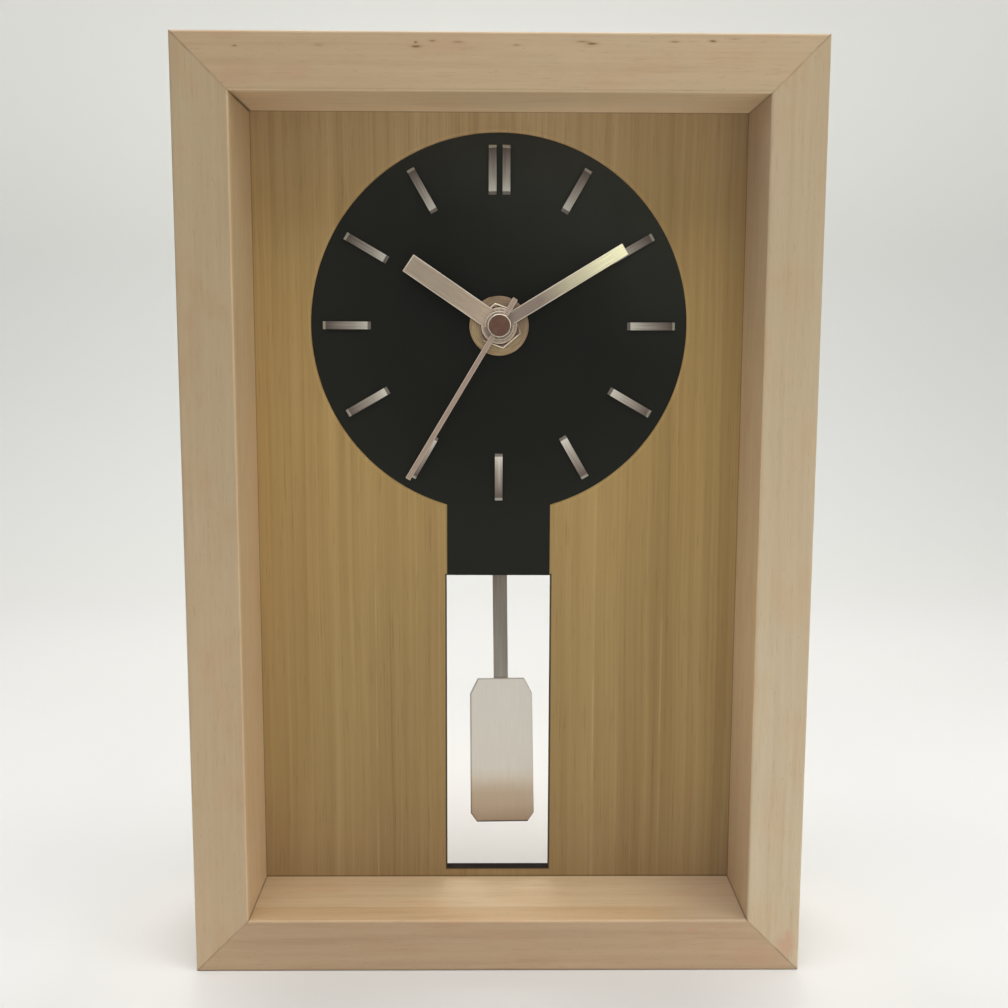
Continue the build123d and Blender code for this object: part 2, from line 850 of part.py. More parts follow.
contact_half = contact_width / 2
contact_front = battery_depth - contact_half
contact_back = battery_depth + contact_half
with BuildPart() as battery_contact_plus:
    add_block(
        bay_half_length - contact_thickness,
        bay_half_length,
        -battery_drop - contact_half,
        contact_half - battery_drop,
        contact_front,
        contact_back,
    )
    dimple = battery_plane.offset(-contact_thickness)
    add_disc(dimple, battery_nub_radius / 2, contact_thickness)
save(battery_contact_plus.part, "battery_contact_plus")

# Bowed leaf spring at the flat end of the battery
battery_left = battery_right - battery_nub_length - battery_length
with BuildPart() as battery_contact_minus:
    leaf_plane = Plane(
        origin=(0, movement_front + contact_back, hub_height - battery_drop),
        x_dir=(1, 0, 0),
        z_dir=(0, -1, 0),
    )
    leaf_foot = -bay_half_length
    leaf_lip = contact_thickness - bay_half_length
    with BuildSketch(leaf_plane):
        with BuildLine():
            ThreePointArc(
                (leaf_lip, -contact_half),
                (battery_left, 0),
                (leaf_lip, contact_half),
            )
            Line((leaf_lip, contact_half), (leaf_foot, contact_half))
            ThreePointArc(
                (leaf_foot, contact_half),
                (battery_left - contact_thickness, 0),
                (leaf_foot, -contact_half),
            )
            Line((leaf_foot, -contact_half), (leaf_lip, -contact_half))
        make_face()
    extrude(amount=contact_width)
save(battery_contact_minus.part, "battery_contact_minus")

pin_axis = Axis((0, 0, hub_height + pivot_height), (0, 1, 0))


def save_hanging(part, name):
    """A piece of the pendulum, swung about the pin to the place where it is shown."""
    save(part.rotate(pin_axis, -pendulum_angle), name)


# Lever that carries the pendulum, hung on a pin across the case
lever_back = lever_depth + lever_thickness
magnet_seat = drive_magnet_radius + drive_seat_rim
with BuildPart() as pendulum_lever:
    add_shaft((0, pivot_height), lever_hub_radius, lever_depth, lever_back)
    add_shaft((0, drive_height), magnet_seat, lever_depth, lever_back)
    half_lever = lever_width / 2
    add_block(-half_lever, half_lever, lever_bottom, pivot_height, lever_depth, lever_back)
    pin_hole = pin_radius + pivot_clearance
    add_shaft((0, pivot_height), pin_hole, lever_depth, lever_back, Mode.SUBTRACT)
    hook_front = lever_depth - rod_thickness - bob_thickness
    add_shaft((0, hook_height), hook_radius, hook_front, lever_depth)
save_hanging(pendulum_lever.part, "pendulum_lever")

drive_magnet_back = lever_back + drive_magnet_thickness
with BuildPart() as pendulum_magnet:
    add_shaft((0, drive_height), drive_magnet_radius, lever_back, drive_magnet_back)
save_hanging(pendulum_magnet.part, "pendulum_magnet")

with BuildPart() as pivot_pin:
    add_shaft((0, pivot_height), pin_radius, case_wall / 2, rear_wall + case_wall / 2)
save(pivot_pin.part, "pivot_pin")

drive_coil_front = drive_magnet_back + drive_air_gap
drive_coil_back = drive_coil_front + drive_coil_width
with BuildPart() as drive_coil:
    add_shaft((0, drive_height), drive_coil_radius, drive_coil_front, drive_coil_back)
    add_shaft((0, drive_height), drive_core_radius, drive_coil_front, drive_coil_back, Mode.SUBTRACT)
save(drive_coil.part, "drive_coil")

# Pendulum: a flat rod hooked on the lever, and a chamfered plate bob on its front
bob_bottom = window_bottom + bob_sill_gap
bob_top = bob_bottom + bob_height
rod_back = movement_front + lever_depth
rod_front = rod_back - rod_thickness
hook_level = hub_height + hook_height
eye_radius = hook_radius + eye_wall
with BuildPart() as pendulum_rod:
    rod_bottom = bob_bottom + bob_rod_margin
    with BuildSketch(facing(rod_back)):
        with Locations((0, (hook_level + rod_bottom) / 2)):
            Rectangle(rod_width, hook_level - rod_bottom)
        with Locations((0, hook_level)):
            Circle(eye_radius)
            Circle(hook_radius, mode=Mode.SUBTRACT)
    extrude(amount=rod_thickness)
save_hanging(pendulum_rod.part, "pendulum_rod")

with BuildPart() as pendulum_bob:
    shoulder = bob_shoulder_width / 2
    foot = bob_foot_width / 2
    with BuildSketch(facing(rod_front)):
        with BuildLine():
            Polyline(
                (0, bob_top),
                (shoulder - bob_shoulder_cut[0], bob_top),
                (shoulder, bob_top - bob_shoulder_cut[1]),
                (foot, bob_bottom + bob_foot_cut[1]),
                (foot - bob_foot_cut[0], bob_bottom),
                (0, bob_bottom),
            )
            mirror(about=Plane.YZ)
        make_face()
    extrude(amount=bob_thickness)
save_hanging(pendulum_bob.part, "pendulum_bob")

# Front half of the movement case: three pockets, posts and spigots
slot_half = (
    (pivot_height - tail_bottom) * math.tan(math.radians(swing_limit))
    + lever_width / 2 / math.cos(math.radians(swing_limit))
    + slot_clearance
)
gear_pocket = (-bay_half_length, bay_half_length, gear_bottom, gear_top)
bay_pocket = (-bay_half_length, bay_half_length, bay_bottom, bay_top)
tail_pocket = (
    case_wall - tail_width / 2,
    tail_width / 2 - case_wall,
    tail_bottom + case_wall,
    case_bottom,
)
slot = (-slot_half, slot_half, tail_bottom, tail_bottom + case_wall)
slot_front = lever_depth - slot_clearance
slot_back = lever_back + slot_clearance

# Four clips of the cover that hook over catches on the sides of the case
clip_front = case_front_depth - clip_reach
catch_front = clip_front + clip_bar
catch_back = case_front_depth - clip_bar
catch_half = clip_width / 2 - clip_bar
clip_outside = case_half_width + clip_thickness
clip_places = []
for middle in (clip_height, -battery_drop):
    clip_places.append((case_half_width, clip_outside, middle))
    clip_places.append((-clip_outside, -case_half_width, middle))

with BuildPart() as movement_case:
    extrude(case_outline(case_front_depth), amount=case_front_depth)
    for pocket in (gear_pocket, bay_pocket, tail_pocket):
        add_block(*pocket, case_wall, case_front_depth, Mode.SUBTRACT)
    add_block(*slot, slot_front, slot_back, Mode.SUBTRACT)
    add_shaft(hub, bush_radius, 0, case_wall, Mode.SUBTRACT)
    front_pivot = pivot_radius + pivot_clearance
    add_shaft(minute_centre, front_pivot, case_wall / 2, case_wall, Mode.SUBTRACT)
    for place in post_places:
        add_shaft(place, post_radius, case_wall, plate_front)
        add_shaft(place, spigot_radius, plate_front, plate_back)
    for place in pcb_places:
        add_shaft(place, post_radius, case_wall, pcb_depth)
        add_shaft(place, spigot_radius, pcb_depth, pcb_back)
    pin_boss_front = lever_depth - end_shake
    add_shaft((0, pivot_height), pin_boss_radius, case_wall, pin_boss_front)
    add_shaft((0, pivot_height), pin_radius, case_wall / 2, pin_boss_front, Mode.SUBTRACT)
    for left, right, middle in clip_places:
        add_block(
            left,
            right,
            middle - catch_half + clip_clearance,
            middle + catch_half - clip_clearance,
            catch_front + clip_clearance,
            catch_back - clip_clearance,
        )
save(movement_case.part, "movement_case")

# Rear cover: open over the battery, with bosses for the rear pivots, the motor and the drive coil
with BuildPart() as movement_cover:
    extrude(case_outline(case_depth), amount=case_depth - case_front_depth)
    for pocket in (gear_pocket, tail_pocket):
        add_block(*pocket, case_front_depth, rear_wall, Mode.SUBTRACT)
    add_block(*bay_pocket, case_front_depth, case_depth, Mode.SUBTRACT)
    for left, right, middle in clip_places:
        clip_bottom = middle - clip_width / 2
        clip_top = middle + clip_width / 2
        add_block(left, right, clip_bottom, clip_top, clip_front, case_depth)
        catch = (left, right, middle - catch_half, middle + catch_half)
        add_block(*catch, catch_front, catch_back, Mode.SUBTRACT)
    ring_inside = knob_radius + knob_ring_gap
    ring_back = case_depth + knob_ring_height
    add_shaft(minute_centre, ring_inside + knob_ring_width, case_depth, ring_back)
    add_shaft(minute_centre, ring_inside, case_depth, ring_back, Mode.SUBTRACT)
    pivot_hole = pivot_radius + pivot_clearance
    for centre in (hub, third_centre, step_centre):
        add_shaft(centre, pivot_hole + boss_wall, boss_front, rear_wall)
        add_shaft(centre, pivot_hole, boss_front, rear_wall, Mode.SUBTRACT)
    add_shaft(rotor_centre, pivot_hole, rear_wall, rear_wall + case_wall / 2, Mode.SUBTRACT)
    knob_hole = minute_arbor_radius + pivot_clearance
    add_shaft(minute_centre, knob_hole, rear_wall, case_depth, Mode.SUBTRACT)
    for side in (-1, 1):
        seat = (rotor_centre[0] + side * leg_spacing / 2, core_height)
        add_shaft(seat, leg_width / 2, stator_back, rear_wall)
    pin_boss_back = lever_back + end_shake
    add_shaft((0, pivot_height), pin_boss_radius, pin_boss_back, rear_wall)
    pin_end = rear_wall + case_wall / 2
    add_shaft((0, pivot_height), pin_radius, pin_boss_back, pin_end, Mode.SUBTRACT)
    add_shaft((0, drive_height), drive_core_radius + boss_wall, drive_coil_back, rear_wall)
    add_shaft((0, drive_height), drive_core_radius, drive_coil_front, drive_coil_back)
save(movement_cover.part, "movement_cover")
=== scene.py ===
import math
from collections import namedtuple

import bpy
from mathutils import Matrix, Vector


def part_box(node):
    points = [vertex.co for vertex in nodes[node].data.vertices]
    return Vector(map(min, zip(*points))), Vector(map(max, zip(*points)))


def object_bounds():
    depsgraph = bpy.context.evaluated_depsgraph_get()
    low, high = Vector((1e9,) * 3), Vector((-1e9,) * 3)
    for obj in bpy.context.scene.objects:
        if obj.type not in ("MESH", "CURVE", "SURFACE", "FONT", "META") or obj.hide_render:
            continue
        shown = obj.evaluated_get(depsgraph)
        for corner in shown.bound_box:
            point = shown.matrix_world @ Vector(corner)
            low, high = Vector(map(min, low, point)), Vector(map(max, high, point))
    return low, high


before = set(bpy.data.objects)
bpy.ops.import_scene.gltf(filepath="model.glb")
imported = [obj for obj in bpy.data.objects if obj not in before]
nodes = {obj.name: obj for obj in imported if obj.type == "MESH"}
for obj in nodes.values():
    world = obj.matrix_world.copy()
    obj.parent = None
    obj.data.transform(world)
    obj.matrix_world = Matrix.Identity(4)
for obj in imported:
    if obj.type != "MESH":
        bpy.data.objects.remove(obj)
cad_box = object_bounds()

# Desk pendulum clock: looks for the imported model, a pale floor with a curved backdrop, soft light
# and the camera at the photographed angle. Metres throughout.

MM = 0.001
AXES = "XYZ"

batons = [name for name in nodes if name.startswith("hour_baton")]
hub_low, hub_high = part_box("shaft_washer")
hub = ((hub_low.x + hub_high.x) / 2, 0.0, (hub_low.z + hub_high.z) / 2)
case_low, case_high = cad_box
frame_width = case_high.x - case_low.x
frame_height = case_high.z - case_low.z
dial_radius = (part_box("dial_plate")[1].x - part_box("dial_plate")[0].x) / 2
window_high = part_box("dial_plate")[0].z
opening_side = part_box("frame_right_stile")[0].x
opening_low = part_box("frame_bottom_rail")[1].z
opening_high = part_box("frame_top_rail")[0].z


def srgb(red, green, blue):
    """A colour written as it shows on screen, 0 to 255."""
    channels = []
    for value in (red, green, blue):
        value /= 255
        channels.append(value / 12.92 if value <= 0.04045 else ((value + 0.055) / 1.055) ** 2.4)
    return (*channels, 1.0)


def tint(red, green, blue):
    """A colour to multiply by, 1 for no change."""
    return (red, green, blue, 1.0)


def grey(value):
    return tint(value, value, value)


class Nodes:
    """A node tree, with short calls for the nodes that it is built from."""

    def __init__(self, tree):
        self.tree = tree

    def plug(self, socket, value):
        if isinstance(value, bpy.types.NodeSocket):
            self.tree.links.new(value, socket)
        else:
            socket.default_value = value

    def node(self, kind, *values, **settings):
        """A new node with its settings, and its first inputs in order."""
        made = self.tree.nodes.new("ShaderNode" + kind)
        for setting, value in settings.items():
            setattr(made, setting, value)
        for socket, value in zip(made.inputs, values):
            self.plug(socket, value)
        return made

    def math(self, operation, *values):
        return self.node("Math", *values, operation=operation).outputs[0]

    def chain(self, operation, result, *others):
        for other in others:
            result = self.math(operation, result, other)
        return result

    def product(self, *values):
        return self.chain("MULTIPLY", *values)

    def most(self, *values):
        return self.chain("MAXIMUM", *values)

    def least(self, *values):
        return self.chain("MINIMUM", *values)

    def minus(self, first, second):
        return self.math("SUBTRACT", first, second)

    def absolute(self, value):
        return self.math("ABSOLUTE", value)

    def weighted(self, *parts, start=0.0):
        """A sum of values, each times its weight, added to a start."""
        for value, weight in parts:
            start = self.math("MULTIPLY_ADD", value, weight, start)
        return start

    def vector(self, operation, *values):
        made = self.node("VectorMath", *values, operation=operation)
        return made.outputs["Value" if operation in ("LENGTH", "DOT_PRODUCT") else "Vector"]

    def split(self, vector):
        return tuple(self.node("SeparateXYZ", vector).outputs)

    def join(self, x, y, z):
        return self.node("CombineXYZ", x, y, z).outputs[0]

    def noise(self, vector, detail, roughness=0.5):
        made = self.node("TexNoise", vector)
        made.inputs["Scale"].default_value = 1.0
        made.inputs["Detail"].default_value = detail
        made.inputs["Roughness"].default_value = roughness
        return made.outputs["Fac"]

    def grain(self, vector, scale, detail=3, shift=(0.0, 0.0, 0.0), roughness=0.5):
        """Noise with its own scale along each axis, or one number for all three."""
        scale = scale if isinstance(scale, tuple) else (scale,) * 3
        moved = self.vector("ADD", vector, shift)
        return self.noise(self.vector("MULTIPLY", moved, scale), detail, roughness)

    def ramp(self, factor, *stops, smooth=False):
        made = self.node("ValToRGB", factor)
        elements = made.color_ramp.elements
        while len(elements) < len(stops):
            elements.new(0.5)
        for element, (position, colour) in zip(elements, stops):
            element.position = position
            element.color = colour
        made.color_ramp.interpolation = "EASE" if smooth else "LINEAR"
        return made.outputs[0]

    def span(self, value, low, high, to_low=0.0, to_high=1.0, smooth=True):
        """A value taken from one range to another and held at its ends."""
        kind = "SMOOTHSTEP" if smooth else "LINEAR"
        made = self.node("MapRange", value, low, high, to_low, to_high, interpolation_type=kind)
        return made.outputs[0]

    def share(self, value, low, high):
        """How far a value is from low to high, in a straight line."""
        return self.span(value, low, high, smooth=False)

    def rise(self, value, low, high, top=1.0):
        """0 up to low, top from high on."""
        return self.span(value, low, high, 0.0, top)

    def fall(self, value, low, high, top=1.0):
        """Top up to low, 0 from high on."""
        return self.span(value, low, high, top, 0.0)

    def mix(self, factor, first, second, blend="MIX"):
        # A mix node's two colours are its seventh and eighth inputs, and their mix its third output
        made = self.node("Mix", factor, data_type="RGBA", blend_type=blend)
        self.plug(made.inputs[6], first)
        self.plug(made.inputs[7], second)
        return made.outputs[2]

    def times(self, colour, by):
        return self.mix(1.0, colour, by, "MULTIPLY")

    def tinted(self, factor, colour, by):
        """A colour, multiplied by another as far as the factor says."""
        return self.mix(factor, colour, self.times(colour, by))

    def seen(self):
        """1 for camera, glossy and transmission rays, 0 for the rays that only carry light."""
        rays = self.node("LightPath").outputs
        return self.most(rays["Is Camera Ray"], rays["Is Glossy Ray"], rays["Is Transmission Ray"])


class Surface(Nodes):
    """A material made of nodes. Its fixed shader values are given by their names in lower case."""

    def __init__(self, name, **sockets):
        self.material = bpy.data.materials.new(name)
        self.material.use_nodes = True
        super().__init__(self.material.node_tree)
        self.shader = self.tree.nodes["Principled BSDF"]
        for socket, value in sockets.items():
            self.feed(socket.replace("_", " ").title().replace("Ior", "IOR"), value)

    def feed(self, socket, value):
        self.plug(self.shader.inputs[socket], value)

    def place(self):
        return self.node("TexCoord").outputs["Object"]

    def normal(self):
        return self.node("TexCoord").outputs["Normal"]

    def bump(self, height, distance, strength):
        made = self.node("Bump")
        made.inputs["Strength"].default_value = strength
        made.inputs["Distance"].default_value = distance
        self.plug(made.inputs["Height"], height)
        self.feed("Normal", made.outputs[0])

    def off_hub(self):
        return self.vector("SUBTRACT", self.place(), hub)

    def around_hub(self):
        """Distance from the hub line, and the angle round it, clockwise from the top."""
        x, _, z = self.split(self.off_hub())
        return self.vector("LENGTH", self.join(x, 0.0, z)), self.math("ARCTAN2", x, z)

    def toward(self, heading):
        """Distance from the hub line toward a heading in degrees, clockwise from the top."""
        turn = math.radians(heading)
        return self.vector("DOT_PRODUCT", self.off_hub(), (math.sin(turn), 0.0, math.cos(turn)))


def dress(material, *names):
    """One material on every slot of the named pieces."""
    for name in names:
        for slot in nodes[name].material_slots:
            slot.material = material


# Frame wood: pale, fine grained, with the grain along each rail
HEART = (0.06, 0.055, 0.06)
PORE_BROWN = srgb(126, 98, 70)
TICK_BROWN = srgb(118, 86, 60)
FLECK_HALO = srgb(140, 108, 70)
FLECK_CORE = srgb(104, 74, 40)
BLOT_PINK = srgb(200, 142, 118)
JOINT_BROWN = srgb(98, 68, 42)

Lift = namedtuple("Lift", "axis start end stops")
Band = namedtuple("Band", "end at_end at_front")
Mark = namedtuple("Mark", "x z length height strength")


def off_mark(s, place, mark, scale, raggedness):
    """Distance from a mark's middle with a ragged edge, as a share of the mark's size."""
    offset = s.vector("SUBTRACT", place, (mark.x, 0.0, mark.z))
    sized = s.vector("MULTIPLY", offset, (1 / mark.length, 0.0, 1 / mark.height))
    return s.weighted((s.grain(place, scale), raggedness), start=s.vector("LENGTH", sized))


def mitre_joint(s, place, inner, shift):
    """Strength of the joint line: patchy in front, plainer inside, a little open at the top left."""
    x, y, z = s.split(place)
    from_side = s.minus(frame_width / 2, s.absolute(x))
    from_end = s.least(z, s.minus(frame_height, z))
    loose = s.product(
        s.fall(x, -60 * MM, -55 * MM),
        s.rise(z, 205 * MM, 210 * MM),
        s.rise(y, -23 * MM, -17 * MM),
    )
    wavy = s.product(loose, s.grain(place, (0, 160, 0), 2))
    off_joint = s.weighted((wavy, -0.2 * MM), start=s.absolute(s.minus(from_side, from_end)))
    in_front = s.span(s.grain(place, 260, 2, shift), 0.35, 0.65, 0.10, 0.36)
    in_front = s.product(in_front, s.span(from_side, 4 * MM, 12 * MM, 1.5, 0.8))
    inside = s.weighted((loose, 0.36), start=s.span(z, 150 * MM, 200 * MM, 0.52, 0.36))
    strength = s.most(in_front, s.product(inner, inside))
    width = s.weighted((loose, 0.1 * MM), start=0.46 * MM)
    return s.product(strength, s.fall(off_joint, 0.08 * MM, width))


def rail_wood(name, along, inward, shift, first, last, painted_inner_light, band=None, flecks=(), blots=()):
    s = Surface(name, specular_ior_level=0.35)
    place = s.place()
    spread = s.split(place)
    x, y, _ = spread
    axis = AXES.index(along)

    def run(along_scale, cross_scale):
        return tuple(along_scale if number == axis else cross_scale for number in range(3))

    # Growth rings, fibres and soft patches
    ring = s.vector("LENGTH", s.vector("MULTIPLY", s.vector("ADD", place, HEART), run(0, 1)))
    ring = s.weighted((s.grain(place, run(9, 40), 2, shift), 0.006), start=ring)
    rings = s.noise(s.join(s.product(ring, 520), shift[0] * 90, 0.0), 3, roughness=0.6)
    fibre = s.grain(place, run(45, 1100), 4, shift, roughness=0.6)
    pores = s.grain(place, run(160, 2600), 2, shift)
    patch = s.grain(place, run(14, 55), 3, shift)
    shade = s.ramp(
        s.weighted((rings, 0.40), (fibre, 0.34), (patch, 0.26)),
        (0.30, tint(0.86, 0.83, 0.80)),
        (0.44, tint(0.97, 0.96, 0.95)),
        (0.56, tint(1.02, 1.02, 1.02)),
        (0.72, tint(1.08, 1.09, 1.10)),
    )
    # Each rail goes from its first to its last colour; these end colours, lighter toward the right and
    # on the stiles toward the bottom, are partly painted light
    length = s.span(spread[axis], case_low[axis], case_high[axis])
    colour = s.times(s.mix(length, first, last), shade)
    warm = s.rise(s.grain(place, run(22, 80), 2, (shift[2], shift[0], shift[1])), 0.35, 0.7)
    colour = s.tinted(s.product(warm, 0.5), colour, tint(1.02, 0.98, 0.95))

    # The face toward the opening, with painted light along one axis: brighter and tinted for the light
    # that reaches into the recess, darker low on the right stile as painted shade
    inner = s.rise(s.vector("DOT_PRODUCT", s.normal(), inward), 0.4, 0.6)
    lit = s.share(spread[AXES.index(painted_inner_light.axis)], painted_inner_light.start, painted_inner_light.end)
    colour = s.tinted(inner, colour, s.ramp(lit, *painted_inner_light.stops, smooth=True))
    if band:
        shaded = s.mix(s.share(y, case_low.y, band.end), band.at_front, band.at_end)
        banded = s.product(
            inner,
            s.fall(y, band.end - 0.2 * MM, band.end + 0.2 * MM),
            s.fall(x, 40 * MM, 54 * MM),
        )
        colour = s.tinted(banded, colour, shaded)

    # Blushes, pores, ticks and single marks
    blush = s.rise(s.grain(place, run(70, 150), 3, (shift[1], shift[2], shift[0])), 0.48, 0.70, 0.60)
    colour = s.tinted(blush, colour, tint(0.99, 0.91, 0.86))
    colour = s.mix(s.fall(pores, 0.30, 0.42, 0.14), colour, PORE_BROWN)
    ticks = s.grain(place, run(620, 2900), 1, shift)
    colour = s.mix(s.rise(ticks, 0.70, 0.78, 0.16), colour, TICK_BROWN)
    front = s.fall(y, case_low.y + 0.5 * MM, case_low.y + 2.0 * MM)
    for mark in flecks:
        away = off_mark(s, place, mark, (700, 700, 1500), 0.8)
        halo = s.product(front, s.fall(away, 0.8, 2.6, mark.strength / 3))
        core = s.product(front, s.fall(away, 0.6, 1.5, mark.strength))
        colour = s.mix(core, s.mix(halo, colour, FLECK_HALO), FLECK_CORE)
    for mark in blots:
        away = off_mark(s, place, mark, (400, 400, 600), 1.2)
        colour = s.mix(s.product(front, s.fall(away, 0.6, 1.9, mark.strength)), colour, BLOT_PINK)

    s.feed("Base Color", s.mix(mitre_joint(s, place, inner, shift), colour, JOINT_BROWN))
    s.feed("Roughness", s.span(fibre, 0.3, 0.7, 0.62, 0.48))
    s.bump(s.weighted((pores, 0.5), start=fibre), 0.04 * MM, 0.5)
    return s.material


fleck_line = frame_height - 3.4 * MM
top_flecks = [
    Mark(-60.0 * MM, fleck_line - 0.10 * MM, 0.60 * MM, 0.25 * MM, 0.70),
    Mark(-41.2 * MM, fleck_line + 0.20 * MM, 1.20 * MM, 0.40 * MM, 0.25),
    Mark(-19.2 * MM, fleck_line, 1.25 * MM, 0.32 * MM, 0.90),
    Mark(-19.2 * MM, fleck_line + 0.85 * MM, 0.40 * MM, 0.28 * MM, 0.80),
    Mark(-15.5 * MM, fleck_line + 1.20 * MM, 0.90 * MM, 0.25 * MM, 0.60),
    Mark(-9.7 * MM, fleck_line + 1.00 * MM, 1.40 * MM, 0.25 * MM, 0.45),
    Mark(3.5 * MM, fleck_line + 0.40 * MM, 1.00 * MM, 0.22 * MM, 0.40),
    Mark(18.4 * MM, fleck_line + 1.20 * MM, 1.40 * MM, 0.25 * MM, 0.55),
    Mark(20.7 * MM, fleck_line + 0.80 * MM, 1.30 * MM, 0.30 * MM, 0.90),
    Mark(39.4 * MM, fleck_line + 1.30 * MM, 1.20 * MM, 0.25 * MM, 0.50),
    Mark(48.0 * MM, fleck_line + 1.50 * MM, 0.90 * MM, 0.28 * MM, 0.85),
    Mark(53.0 * MM, fleck_line + 2.00 * MM, 1.60 * MM, 0.20 * MM, 0.30),
]
# Painted light on the face toward the opening of each rail
top_inner_light = Lift("Y", case_low.y, 0.0, (
    (0.0, tint(1.46, 1.52, 1.54)),
    (1.0, tint(1.76, 1.92, 2.10)),
))
bottom_inner_light = Lift("X", 30 * MM, 62 * MM, (
    (0.0, tint(1.16, 1.23, 1.22)),
    (1.0, tint(0.95, 1.02, 1.10)),
))
left_inner_light = Lift("Z", 60 * MM, 180 * MM, (
    (0.0, tint(1.28, 1.28, 1.24)),
    (1.0, tint(1.46, 1.44, 1.38)),
))
right_inner_light = Lift("Z", 15 * MM, 195 * MM, (
    (0.0, tint(0.90, 0.83, 0.80)),
    (0.4, tint(1.14, 1.08, 1.00)),
    (0.7, tint(1.16, 1.11, 1.06)),
    (1.0, tint(1.03, 1.00, 1.04)),
))
wood_looks = {
    "frame_top_rail": dict(
        along="X",
        inward=(0, 0, -1),
        shift=(0.31, 0.12, 0.05),
        first=srgb(180, 156, 125),
        last=srgb(190, 168, 137),
        painted_inner_light=top_inner_light,
        flecks=top_flecks,
    ),
    "frame_bottom_rail": dict(
        along="X",
        inward=(0, 0, 1),
        shift=(0.83, 0.47, 0.21),
        first=srgb(184, 158, 128),
        last=srgb(192, 166, 136),
        painted_inner_light=bottom_inner_light,
        band=Band(-17.5 * MM, tint(0.88, 0.82, 0.75), tint(0.99, 0.95, 0.91)),
        blots=[
            Mark(56.0 * MM, 11.2 * MM, 2.4 * MM, 0.5 * MM, 0.45),
            Mark(48.0 * MM, 10.6 * MM, 1.6 * MM, 0.4 * MM, 0.45),
            Mark(64.0 * MM, 3.6 * MM, 7.0 * MM, 3.2 * MM, 0.22),
        ],
    ),
    "frame_left_stile": dict(
        along="Z",
        inward=(1, 0, 0),
        shift=(0.19, 0.71, 0.43),
        first=srgb(192, 169, 138),
        last=srgb(172, 153, 123),
        painted_inner_light=left_inner_light,
    ),
    "frame_right_stile": dict(
        along="Z",
        inward=(-1, 0, 0),
        shift=(0.57, 0.29, 0.77),
        first=srgb(208, 191, 162),
        last=srgb(184, 165, 135),
        painted_inner_light=right_inner_light,
        blots=[
            Mark(71.5 * MM, 6.2 * MM, 3.0 * MM, 3.6 * MM, 0.50),
            Mark(72.2 * MM, 9.2 * MM, 1.2 * MM, 1.6 * MM, 0.45),
        ],
    ),
}
for rail, look in wood_looks.items():
    dress(rail_wood("wood_" + rail, **look), rail)


# Dial board: straight vertical veneer in front, plain panel behind, stained cut edges
WINDOW_WIDTH = 27.0 * MM
WINDOW_HEIGHT = 79.8 * MM
VENEER_LINES = (-31.9 * MM, 25.0 * MM, 42.7 * MM)
VENEER_PORE = srgb(92, 68, 38)
VENEER_STREAK = srgb(190, 168, 122)
VENEER_LINE = srgb(206, 184, 136)
WINDOW_RIM = srgb(48, 36, 30)
FRAME_SHADE = srgb(84, 60, 36)


